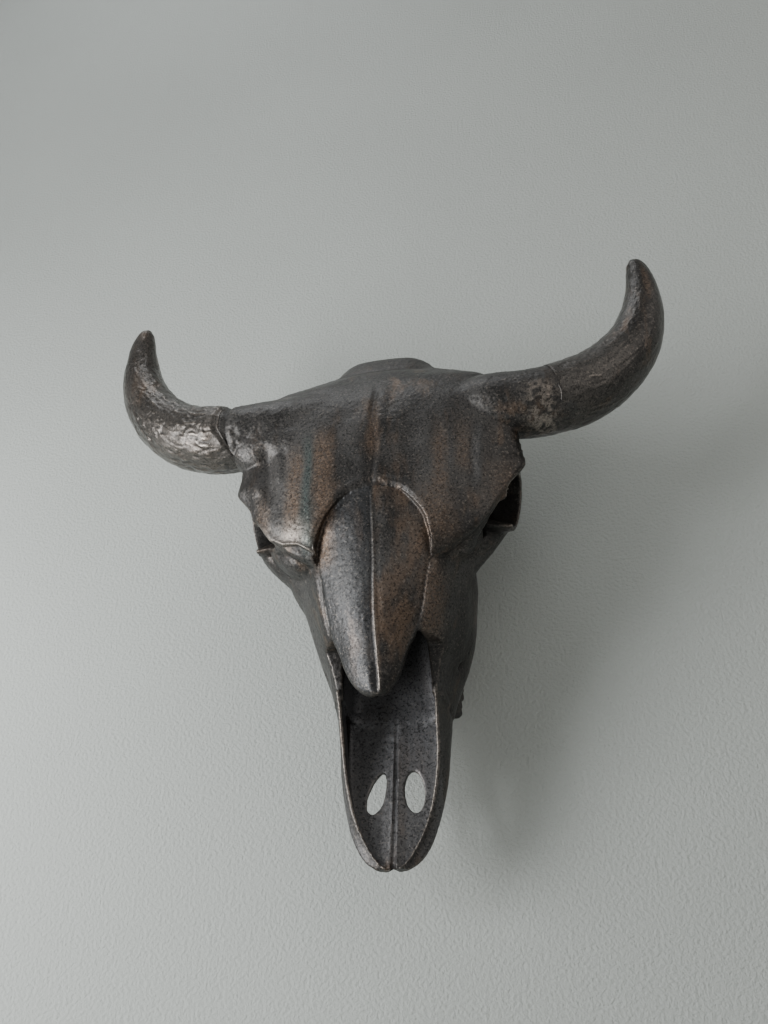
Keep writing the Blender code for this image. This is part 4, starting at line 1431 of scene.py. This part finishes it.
    def soften_joins(self, skin: Skin) -> None:
        """Rounds the horns' roots and the steps to the nasal bones and the cheeks.

        Args:
            skin: The plain casting.
        """
        x, f, h = skin.points.T
        reach = np.where(x > 0, 14.0, 10.0)
        arch = bell(abs(x) - self.nasal_widths(f, x), reach) * ramp(f, 318, 296) * ramp(f, 222, 230)
        skin.relax(arch * (h > 118), 90)
        x, f, h = skin.points.T
        step = bell(x + self.nasal_widths(f, x), 9) * ramp(f, 304, 288) * ramp(f, 234, 250)
        skin.relax(step * (h > 118), 220, fill=True)
        x, f, h = skin.points.T
        root = ramp(abs(x), 58, 88) * ramp(abs(x), 156, 142) * ramp(h, 124, 140) * ramp(f, 200, 180)
        skin.relax(root, 900, fill=True)
        skin.relax(root, 160)
        below = np.zeros(len(x))
        for lip, lead in ((self.left_lip, 1.0), (self.right_lip, -9.0)):
            side = np.sign(lip[0][0])
            beyond = f - self.lip_line(lip, x) - lead
            below += ramp(beyond, 0, 4) * ramp(x * side, 52, 60) * ramp(x * side, 112, 104)
        skin.relax(below * ramp(h, 92, 104) * ramp(f, 332, 314), 240)
        rim = ramp(abs(x), 78, 88) * ramp(abs(x), 144, 138) * ramp(f, 246, 253) * ramp(f, 304, 290)
        facing = skin.normals[:, 1] + skin.normals[:, 2] > 0
        skin.relax(rim * ramp(h, 84, 92) * ramp(h, 117, 111) * facing, 160)
        sill = ramp(abs(x), 47, 43) * ramp(f, 384, 392) * ramp(f, 424, 414)
        skin.relax(sill * (h < 34) * (skin.normals[:, 2] > 0), 160)

    @staticmethod
    def lip_line(lip: Sequence[Sequence[float]], x: Array) -> Array:
        """How far forward the brow's lip lies at x."""
        line = sorted((abs(place[0]), place[1]) for place in lip)
        return np.interp(abs(x), *zip(*line))

    def nasal_under(self, x: Array, f: Array) -> Array:
        """Finds the height of the nasal shield's underside.

        Args:
            x: Places across.
            f: Places forward.

        Returns:
            The heights there.
        """
        table = columns(self.nasals)
        ridge = ease(table[0], table[3], f)
        drop = ease(table[0], table[4], f)
        share = np.minimum(abs(x) / self.nasal_widths(f, x), 1)
        return ridge - drop * share**2.1 - self.nasal_thickness

    def forehead_marks(self, p: Array, up: Array) -> Array:
        """Chases the forehead's midline groove, its furrows over the brows and the crest's hollow.

        Args:
            p: The skin's places.
            up: How far each place faces up, from 0 to 1.

        Returns:
            Offsets along the normals, in millimetres.
        """
        x, f = p[:, 0], p[:, 1]
        wave = x - 1.5 * np.sin(f / 13.0) - 1.5
        reach = ramp(f, 92, 120) * ramp(f, 236, 228)
        roll = 1.2 * ramp(f, 230, 200) * bell(wave - 9, 7)
        out = reach * (-1.5 * bell(wave, 3.0) + roll + 0.4 * bell(wave + 8, 6))
        plan = p[:, :2]
        for furrow in self.furrows:
            distance, share = near_path(plan, furrow.path)
            ends = ramp(share, 0.0, 0.3) * ramp(share, 1.0, 0.7)
            out += furrow.rise * ends * bell(distance, furrow.width)
        out += -2.6 * bell(f - 48, 9) * ramp(abs(x), 62, 44)
        out += 1.0 * bell(f - 66, 9) * ramp(abs(x), 60, 40)
        return out * up

    def brow_marks(self, p: Array) -> Array:
        """Chases a raised lip along the brows, crisper on the left, and the hollow under it.

        Args:
            p: The skin's places.

        Returns:
            Offsets along the normals, in millimetres.
        """
        out = np.zeros(len(p))
        x, f, h = p.T
        near = (h > 118) & (abs(x) > 50) & (f > 185) & (f < 315)
        q = p[near]
        for edge, crisp in ((self.left_lip, 1.0), (self.right_lip, 0.5)):
            distance, share = near_path(q, edge)
            beyond = q[:, 1] - self.lip_line(edge, q[:, 0])
            mine = ramp(q[:, 0] * np.sign(edge[0][0]), 55, 62) * ramp(share, 0.02, 0.16)
            front = ramp(share, 0.40, 0.60)
            dip = 0.9 * bell(distance - 8, 3.6) * (beyond < 0)
            lift = (0.8 + 0.9 * front) * bell(distance, 2.8) - dip
            recess = -2.6 * ramp(beyond, 1.0, 3.5) * bell(beyond - 3.5, 5.5) * (crisp > 0.9)
            recess = recess * ramp(abs(q[:, 0]), 112, 104) * ramp(q[:, 2], 118, 128)
            fade = 1.0 if crisp > 0.9 else ramp(share, 0.72, 0.6)
            out[near] += mine * (crisp * lift * fade + recess)
        return out

    def nasal_marks(self, p: Array, up: Array) -> Array:
        """Chases the nasal bones' seams, their midline ridge and the hollows beside it.

        Args:
            p: The skin's places.
            up: How far each place faces up, from 0 to 1.

        Returns:
            Offsets along the normals, in millimetres.
        """
        x, f, h = p.T
        out = np.zeros(len(p))
        near = (abs(x) < 80) & (f > 215) & (f < 432) & (h > 84)
        q, at = p[near][:, :2], np.linspace(232, 426, 60)
        for s in (-1, 1):
            edge = np.column_stack([s * self.nasal_widths(at, np.full_like(at, s)), at])
            distance, _ = near_path(q, edge)
            mine = ramp(q[:, 0] * s, -1, 3)
            top = ramp(q[:, 1], 256, 240)
            low = ramp(q[:, 1], 290, 312)
            if s < 0:
                depth = 0.8 + 1.2 * ramp(q[:, 1], 276, 300)
                width = 4.2 - 2.2 * ramp(q[:, 1], 270, 300)
            else:
                depth = 1.0 * top + 1.1 * low
                width = 3.4 - 1.4 * low
            seam = mine * ramp(q[:, 1], 366, 350)
            out[near] += seam * (-depth * bell(distance, width))
            outside = abs(q[:, 0]) > self.nasal_widths(q[:, 1], q[:, 0])
            roll = (0.9 * top + (0.7 if s < 0 else 0.2) * low) * bell(distance - 6.0, 3.4) * outside
            out[near] += seam * roll
        middle = ramp(f, 234, 250) * ramp(f, 428, 420) * (h > 90)
        lower = ramp(f, 320, 380)
        bend = x - 0.8 * np.sin(f / 21) - 1.2 * ramp(f, 330, 420)
        ridge = 1.2 * bell(bend - 0.6, 1.5) - 0.3 * bell(abs(bend) - 5.0, 3.0)
        out += middle * (0.5 + 0.8 * lower) * ridge
        out -= 0.9 * middle * (1 - 0.6 * lower) * bell(bend + 1.6, 1.2)
        swell = 0.7 * middle * ramp(f, 330, 372) * bell(x - 17, 8)
        out += swell - 0.6 * middle * bell(x - 29, 7) * ramp(f, 390, 350)
        return out * up

    def cheek_marks(self, p: Array, n: Array) -> Array:
        """Chases the face's crests, the sutures to the premaxillae and the nerves' openings.

        Args:
            p: The skin's places.
            n: Its normals.

        Returns:
            Offsets along the normals, in millimetres.
        """
        h = p[:, 2]
        out = np.zeros(len(p))
        outward = ramp(abs(n[:, 0]), 0.2, 0.6)
        for s in (-1, 1):
            crest = (
                (s * 97 - 7, 262, 104),
                (s * 90 - 3, 300, 86),
                (s * 79, 335, 64),
                (s * 64, 372, 46),
            )
            distance, share = near_path(p, crest)
            out += 1.3 * bell(distance, 9) * ramp(share, 0, 0.3) * ramp(share, 1, 0.7) * outward
            away = (p - np.array([s * 66, 362, 36])) * np.array([0.6, 1, 1.3])
            out -= 5.0 * bell(np.linalg.norm(away, axis=1), 4.5) * outward
            suture = (
                (s * 46, 352, 98),
                (s * 53, 372, 74),
                (s * 56, 392, 52),
                (s * 55, 404, 26),
                (s * 52, 408, 8),
            )
            distance, share = near_path(p + np.outer(1.6 * np.sin(h / 4.5), [0, 1, 0]), suture)
            out -= 1.0 * bell(distance, 1.8) * outward
        return out

    def trough_marks(self, p: Array, n: Array) -> Array:
        """Chases the trough's middle groove and ridges and the notch between its tips.

        Args:
            p: The skin's places.
            n: Its normals.

        Returns:
            Offsets along the normals, in millimetres.
        """
        x, f = p[:, 0], p[:, 1]
        floor = ramp(f, 398, 412) * ramp(n[:, 2], 0.3, 0.7)
        groove = 0.5 + 0.9 * bell(f - 462, 26)
        cut = -1.2 * groove * bell(x + 0.5, 1.8)
        out = floor * (cut + 0.9 * bell(x - 6, 3.0) + 0.6 * bell(x + 7, 3.0))
        out -= 3.0 * ramp(f, 541, 551) * bell(x, 3.0)
        return out

    def horn_root_marks(self, p: Array) -> Array:
        """Chases rough knobs round the horns' roots and the ring groove at the left sheath.

        Args:
            p: The skin's places.

        Returns:
            Offsets along the normals, in millimetres.
        """
        x, f, h = p.T
        root = (h > 116) * ramp(f, 172, 166)
        knobs = 1.1 * noise(p, (8.0, 7.0, 7.0), 51) + 0.7 * noise(p, (3.4, 3.0, 3.0), 52)
        left = bell(x + 151, 7.0)
        right = bell(x - 179, 9.0) * ramp(f, 120, 140)
        return root * ((left + 0.7 * right) * (knobs + 0.2) - 2.4 * bell(x + 161, 4.0))

    def surface_grain(self, p: Array) -> Array:
        """Makes the casting's uneven skin, from broad dents to fine leathery bumps.

        Args:
            p: The skin's places.

        Returns:
            Offsets along the normals, in millimetres.
        """
        out = 0.45 * noise(p, 27.0, 1) + 0.07 * noise(p, (9.0, 12.0, 10.0), 2)
        out += 0.07 * noise(p, 4.6, 3)
        fine = noise(p, 2.6, 5)
        out += 0.16 * np.where(fine > 0, fine, 1.6 * fine)
        return out - 2.1 * ramp(p[:, 2], 170, 191)

    def pits(self, p: Array, seed: int) -> Array:
        """Makes small round pits at scattered places.

        Args:
            p: The skin's places.
            seed: Picks the places.

        Returns:
            Offsets along the normals, in millimetres.
        """
        rng = np.random.default_rng(seed)
        picks = rng.choice(len(p), self.pit_count, replace=False)
        tree = KDTree(len(p))
        for i, point in enumerate(p):
            tree.insert(point, i)
        tree.balance()
        out = np.zeros(len(p))
        for pick, radius in zip(picks, rng.uniform(1.2, 2.1, self.pit_count)):
            for _, index, distance in tree.find_range(p[pick], radius):
                out[index] = min(out[index], -0.24 * radius * (1 - (distance / radius) ** 2))
        return out

    def pale_dust_and_fill_light(self, p: Array, n: Array) -> Array:
        """Finds how pale the premaxillae's trough is made, with dust and with painted fill light where
        the lamps' light doesn't reach.

        Args:
            p: The skin's places.
            n: Its normals.

        Returns:
            The share of pale dust and painted fill light at each place, from 0 to 1.
        """
        x, f, h = p.T
        level = np.interp(f, (300, 400, 470, 545, 550), (0.8, 1.0, 0.55, 0.3, 0.0))
        rim = np.interp(
            f, (395, 404, 435, 459, 490, 515, 533, 550), (64, 60, 41, 30, 21, 15, 11, 8)
        )
        facing = ramp(n[:, 2] + 0.6 * abs(n[:, 0]), 0.1, 0.5)
        return level * facing * ramp(rim - h, 1, 6) * (abs(x) < 47) * (h > 1)

    def inside(self, p: Array, n: Array) -> Array:
        """Finds how much painted shade each place gets deep in the nasal cavity and the eye sockets.

        Args:
            p: The skin's places.
            n: Its normals.

        Returns:
            The share of painted shade at each place, from 0 to 1.
        """
        x, f, h = p.T
        axis = np.interp(f, (400, 550), (66, 26))
        span = np.sqrt(x**2 + (axis - h) ** 2) + 1e-6
        facing = ramp((-x * n[:, 0] + (axis - h) * n[:, 2]) / span, 0.0, 0.35)
        below = ramp(self.nasal_under(x, np.minimum(f, 426)) - h, -1, 5) + (f > 430)
        level = np.interp(f, (284, 300, 350, 400), (0, 0.6, 0.15, 0))
        out = facing * np.minimum(below, 1) * level * (abs(x) < 52) * (h > 1)
        for s in (-1, 1):
            away = (p - np.array([s * 108, 225, 119])) * np.array([0.8, 0.95, 1.0])
            deep = np.linalg.norm(away, axis=1)
            under = ramp(abs(x), 146, 140) * ramp(f, 262, 256) * ramp(h, 146, 142)
            out = np.maximum(out, ramp(deep, 36, 29) * under * 0.75)
        return out


@dataclass
class HornSheath:
    """A horn's sheath, wrinkled lengthwise, whose edge overhangs its root on one side."""

    side: Side
    begins: float
    overhang: float
    overhang_at: float
    ragged: float
    ripple: float
    flush: float
    sides: int = 168
    rings: int = 330
    stations: tuple[Stretch, ...] = (
        Stretch(134, 126, 161.5, 38.5, 38.5),
        Stretch(150, 127, 161.3, 38.2, 38.2),
        Stretch(166, 126.5, 160.8, 38.0, 38.0),
        Stretch(176, 125, 160, 38.6, 38.2),
        Stretch(200, 117, 157, 38.2, 37.7),
        Stretch(232, 99, 154, 36.2, 36.2),
        Stretch(262, 71, 156, 32.7, 32.7),
        Stretch(283, 38, 162, 28.2, 28.2),
        Stretch(293, 5, 171, 22.8, 22.8),
        Stretch(295, -22, 181, 17.3, 17.3),
        Stretch(293, -40, 188, 12.9, 12.9),
        Stretch(290, -49, 192, 8.4, 8.4),
        Stretch(288, -53, 194, 2.6, 2.6),
    )

    def build(self, shop: Workshop) -> bpy.types.Object:
        """Makes the sheath.

        Args:
            shop: The workshop.

        Returns:
            The sheath on the bench, with its marks written.
        """
        table = np.array(self.stations, float)
        lengths = lengths_along(table[:, :3])
        turn = np.linspace(0, 2 * math.pi, self.sides, endpoint=False)
        start = float(np.interp(self.begins, table[:, 0][:6], lengths[:6]))
        under = np.clip(np.cos(turn - math.radians(self.overhang_at)), 0, 1) ** 1.6
        circle = np.stack([np.cos(turn), np.sin(turn), np.zeros_like(turn)], axis=1) * 38
        ragged = noise(circle, 9.0, 21) * 1.6 + noise(circle, 3.6, 22) * 0.6
        starts = start - self.overhang * under + ragged * self.ragged
        share = np.linspace(0, 1, self.rings)[:, None] ** 1.02
        at = starts[None, :] + share * (lengths[-1] - starts[None, :])
        fine = np.linspace(0, lengths[-1], 800)
        x, f, h, thick, tall = (ease(lengths, table[:, k], fine) for k in range(5))
        centres = np.stack([self.side.value * x, f, h], axis=1)
        across, upward = cross_axes(centres)
        radius_x = np.interp(at, fine, thick)
        radius_y = np.interp(at, fine, tall)
        wrinkles = self.wrinkles(at, turn, lengths[-1])
        past = at - starts[None, :]
        wrinkles *= ramp(past, 0.0, 2.0 + 14.0 * self.flush)
        tuck = (1 - self.flush) * ramp(past, 7.0 - 4.5 * under, 0.0) * 2.8
        tuck += self.flush * (1.7 * ramp(past, 30.0, 0.0) + 0.4 * ramp(past, 2.5, 0.0))
        rings = np.zeros((self.rings, self.sides, 3))
        for k in range(3):
            centre = np.interp(at, fine, centres[:, k])
            side_way = np.interp(at, fine, across[:, k])
            up_way = np.interp(at, fine, upward[:, k])
            grow = wrinkles - tuck
            rings[..., k] = (
                centre
                + side_way * (radius_x + grow) * np.cos(turn)
                + up_way * (radius_y + grow) * np.sin(turn)
            )
        middle = rings[:1].mean(axis=1, keepdims=True)
        root = middle + (rings[:1] - middle) * 0.8
        root[..., 0] += self.side.value * 6.0
        obj = shop.loft(f"horn_{self.side.hand}_sheath", np.concatenate([root, rings]))
        skin = Skin(obj)
        stands = skin.standing(8)
        edge = self.begins + 16 * self.flush
        rim = ramp(abs(skin.points[:, 0]), edge - 2, edge + 8)
        # Painted sheen: the left sheath, on the window lamp's side, is brightened all over with the
        # worn colour; the raised wrinkles are wear.
        lit_side_sheen = 0.2 * (1 - self.flush)
        skin.mark("wear", (ramp(stands, 0.10, 0.55) * 0.8 + lit_side_sheen) * rim)
        # Painted shade in the hollows between the wrinkles.
        skin.mark("soot", np.clip((-stands - 0.08) / 0.5, 0, 0.8) * np.maximum(rim, 0.3))
        return obj

    def wrinkles(self, at: Array, turn: Array, length: float) -> Array:
        """Works out the sheath's lengthwise wrinkles and dents, hardly proud of its outline.

        Args:
            at: How far along the horn each place lies, in millimetres.
            turn: The angles round it.
            length: The horn's length.

        Returns:
            Offsets from its outline, in millimetres.
        """
        angle = np.broadcast_to(turn[None, :], at.shape)
        ring = np.stack([38 * np.cos(angle), 38 * np.sin(angle), at], axis=-1).reshape(-1, 3)
        bent = ring + np.outer(noise(ring, 20.0, 31), [5.0, 5.0, 0])
        bent += np.outer(noise(ring, 7.0, 36), [2.0, 2.0, 0])
        folds = 0.55 * noise(bent, (3.7, 3.7, 14.0), 32) + 0.5 * noise(bent, (2.4, 2.4, 7.0), 33)
        dents = 0.4 * noise(ring, 16.0, 34) + 0.2 * noise(ring, 5.0, 35)
        base = ramp(at.ravel() / length, 0.95, 0.3)
        out = (0.2 + 0.8 * base) * folds * self.ripple + dents - 0.75
        return np.minimum(out, 0.4).reshape(at.shape) * ramp(at, length, length - 14)


@dataclass
class CheekTeeth:
    """Six cheek teeth in a row, each with two ribbed lobes and a worn face."""

    side: Side
    lengths: tuple[float, ...] = (17, 20, 21, 26, 30, 32)
    front: float = 386.0
    centre_x: tuple[float, float] = (53.0, 63.0)
    half_widths: tuple[float, float] = (8.5, 13.0)
    top: float = 1.0
    bottom: float = -24.0
    voxel: float = 0.7

    def build(self, shop: Workshop) -> bpy.types.Object:
        """Makes the row.

        Args:
            shop: The workshop.

        Returns:
            The row on the bench, with its marks written.
        """
        lobes = []
        span = sum(self.lengths)
        back = self.front
        turn = np.linspace(0, 2 * math.pi, 40, endpoint=False)
        for length in self.lengths:
            front, back = back, back - length
            share = (self.front - (front + back) / 2) / span
            x = self.side.value * float(np.interp(share, (0, 1), self.centre_x))
            half = float(np.interp(share, (0, 1), self.half_widths))
            for place in (0.27, 0.73):
                lobes.append(self.lobe(shop, x, front - place * length, half, 0.3 * length, turn))
        row = shop.fuse(f"teeth_{self.side.hand}", lobes, self.voxel, 2)
        skin = Skin(row)
        f = skin.points[:, 1]
        face = ramp(skin.normals[:, 2], -0.5, -0.9)
        skin.offset = 0.3 * noise(skin.points, (4.0, 4.0, 14.0), 41) - 0.1
        skin.offset -= face * 0.8 * bell(np.sin(f / 2.4) * 2, 1.0)
        skin.press()
        stands = skin.standing(8)
        skin.mark("wear", ramp(stands, 0.2, 0.7) * 0.5)
        # Painted shade in the hollows between the lobes and ribs.
        skin.mark("soot", np.clip((-stands - 0.08) / 0.5, 0, 1))
        return row

    def lobe(
        self, shop: Workshop, x: float, forward: float, half: float, reach: float, turn: Array
    ) -> bpy.types.Object:
        """Makes one lobe of a tooth, ribbed down its sides.

        Args:
            shop: The workshop.
            x: Its middle across, in table millimetres.
            forward: Its middle forward.
            half: Its half width.
            reach: Its half length.
            turn: The angles round it.

        Returns:
            The lobe on the bench.
        """
        levels = [
            (self.top, 1.0),
            (-8.0, 1.02),
            (-16.0, 1.0),
            (self.bottom + 3.5, 0.97),
            (self.bottom + 1.0, 0.9),
            (self.bottom + 0.4, 0.8),
        ]
        rib = 1 + 0.05 * np.cos(6 * turn)
        rings = []
        for height, swell in levels:
            px = x + half * 0.94 * swell * rib * np.cos(turn)
            pf = forward + reach * 0.98 * swell * rib * np.sin(turn)
            rings.append(np.stack([px, pf, np.full_like(px, height)], axis=1))
        return shop.loft("lobe", np.stack(rings))


@dataclass
class Hanger:
    """The lug, plate and screws behind the skull, which keep their solids and take their metals."""

    lug: str = "hanger_lug"
    plated: tuple[str, ...] = ("hanger_plate", "hanger_screw_upper", "hanger_screw_lower")

    def dress(
        self,
        nodes: dict[str, bpy.types.Object],
        cast_metal: bpy.types.Material,
        zinc: bpy.types.Material,
    ) -> None:
        """Gives the hanger's solids their finishes.

        Args:
            nodes: The part's solids by name.
            cast_metal: The lug's finish.
            zinc: The plate's and the screws' finish.
        """
        for name, material in ((self.lug, cast_metal), *((part, zinc) for part in self.plated)):
            solid = nodes[name]
            solid.data.materials.clear()
            solid.data.materials.append(material)
            LOG.info("%s keeps its solid, finished in %s", name, material.name)


class Lamp(NamedTuple):
    """A soft rectangular light: its place and size in metres, its power in watts and its tint."""

    name: str
    place: tuple[float, float, float]
    size: tuple[float, float]
    power: float
    tint: Colour


@dataclass
class Studio:
    """The wall, the floor, the lights and the camera."""

    wall_y: float = 0.006
    floor_z: float = -1.55
    camera_place: tuple[float, float, float] = (0.1734, -0.9448, -0.7138)
    camera_turn: tuple[float, float, float] = (124.51, -0.704, 11.624)
    lens: float = 33.67
    sheet_size: float = 6.0
    air: Colour = (0.81, 0.82, 0.80)
    air_strength: float = 0.40
    aim: tuple[float, float, float] = (0, -0.1, -0.15)
    lamps: tuple[Lamp, ...] = (
        Lamp("window", (-1.12, -0.80, -0.50), (0.5, 0.9), 20.5, (1.0, 1.0, 0.99)),
        Lamp("pane", (-0.885, -1.192, -0.126), (0.28, 0.40), 3.5, (0.97, 0.99, 1.0)),
        Lamp("room", (1.5, -1.6, 0.5), (1.6, 1.6), 7.5, (1.0, 0.93, 0.86)),
        Lamp("above", (-0.5, -0.9, 1.8), (1.2, 0.9), 8.0, (0.95, 0.98, 1.0)),
        Lamp("behind", (-0.5, 1.6, 0.4), (1.6, 1.6), 22.0, (1.0, 1.0, 1.0)),
    )

    def build(self) -> None:
        """Sets up everything round the skull."""
        upright = (math.pi / 2, 0, 0)
        self.sheet("wall", Plaster("wall_paint"), (0, self.wall_y, 0), upright)
        floor_paint = Plaster("floor_paint", base=(0.56, 0.56, 0.54))
        self.sheet("floor", floor_paint, (0, 0, self.floor_z), (0, 0, 0))
        for lamp in self.lamps:
            self.hang_lamp(lamp)
        world = bpy.data.worlds.new("room_air")
        bpy.context.scene.world = world
        world.use_nodes = True
        background = world.node_tree.nodes["Background"]
        background.inputs["Color"].default_value = (*self.air, 1)
        background.inputs["Strength"].default_value = self.air_strength
        self.camera()

    def sheet(
        self, name: str, finish: Plaster, place: Sequence[float], turn: Sequence[float]
    ) -> None:
        """Sets up a flat square of wall or floor.

        Args:
            name: Its name.
            finish: Its paint.
            place: Its middle.
            turn: Its angles about X, Y and Z.
        """
        mesh = bpy.data.meshes.new(name)
        half = self.sheet_size / 2
        corners = [(-half, -half, 0), (half, -half, 0), (half, half, 0), (-half, half, 0)]
        mesh.from_pydata(corners, [], [(0, 1, 2, 3)])
        mesh.materials.append(finish.make())
        obj = bpy.data.objects.new(name, mesh)
        obj.location = place
        obj.rotation_euler = turn
        bpy.context.scene.collection.objects.link(obj)

    def hang_lamp(self, lamp: Lamp) -> None:
        """Sets up a lamp and turns it to the skull.

        Args:
            lamp: The lamp.
        """
        light = bpy.data.lights.new(lamp.name, "AREA")
        light.shape = "RECTANGLE"
        light.size, light.size_y = lamp.size
        light.energy = lamp.power
        light.color = lamp.tint
        obj = bpy.data.objects.new(lamp.name, light)
        obj.location = lamp.place
        aim = Vector(self.aim) - Vector(lamp.place)
        obj.rotation_euler = aim.to_track_quat("-Z", "Y").to_euler()
        bpy.context.scene.collection.objects.link(obj)

    def camera(self) -> None:
        """The camera from below and a little to the right, as the photograph was taken."""
        data = bpy.data.cameras.new("camera")
        data.sensor_width = 36
        data.sensor_fit = "AUTO"
        data.lens = self.lens
        obj = bpy.data.objects.new("camera", data)
        obj.location = self.camera_place
        obj.rotation_euler = tuple(math.radians(angle) for angle in self.camera_turn)
        bpy.context.scene.collection.objects.link(obj)
        bpy.context.scene.camera = obj


def main() -> None:
    """Builds the skull's pieces in order, dresses them and sets up the studio."""
    logging.basicConfig(level=logging.INFO, format="%(name)s: %(message)s")
    shop = Workshop()
    dark = Patina("dark_patina", streaks=STREAKS).make()
    horn_metal = Patina(
        "horn_patina",
        deep=(0.040, 0.037, 0.035),
        grey=(0.095, 0.088, 0.082),
        roughness=(0.28, 0.46),
        coat=0.25,
    ).make()

    casting = SkullCasting()
    skull = casting.cast(shop)
    casting.chase(skull)
    skull.data.materials.clear()
    skull.data.materials.append(dark)
    sides = [side.hand for side in Side]
    paired = ("cheek_arch", "nasal", "premaxilla", "horn_burr")
    replaced = [f"{part}_{hand}" for part in paired for hand in sides]
    shop.hang(skull, ["frontal", "braincase", "upper_jaw", *replaced])
    LOG.info("%s: %d faces", skull.name, len(skull.data.polygons))

    sheaths = (
        HornSheath(
            Side.LEFT,
            begins=166.0,
            overhang=20.0,
            overhang_at=-20.0,
            ragged=0.5,
            ripple=1.35,
            flush=0.0,
        ),
        HornSheath(
            Side.RIGHT,
            begins=184.0,
            overhang=6.0,
            overhang_at=200.0,
            ragged=0.6,
            ripple=0.8,
            flush=1.0,
        ),
    )
    for side, design in zip(Side, sheaths):
        sheath = design.build(shop)
        sheath.data.materials.append(horn_metal)
        shop.hang(sheath, [f"horn_{side.hand}"])
        LOG.info("%s: %d faces", sheath.name, len(sheath.data.polygons))
        teeth = CheekTeeth(side).build(shop)
        teeth.data.materials.append(dark)
        shop.hang(teeth, [f"tooth_row_{side.hand}"])
        LOG.info("%s: %d faces", teeth.name, len(teeth.data.polygons))

    Hanger().dress(frame["nodes"], dark, Plating().make())
    bpy.data.collections.remove(shop.bench)
    Studio().build()


if __name__ == "__main__":
    main()
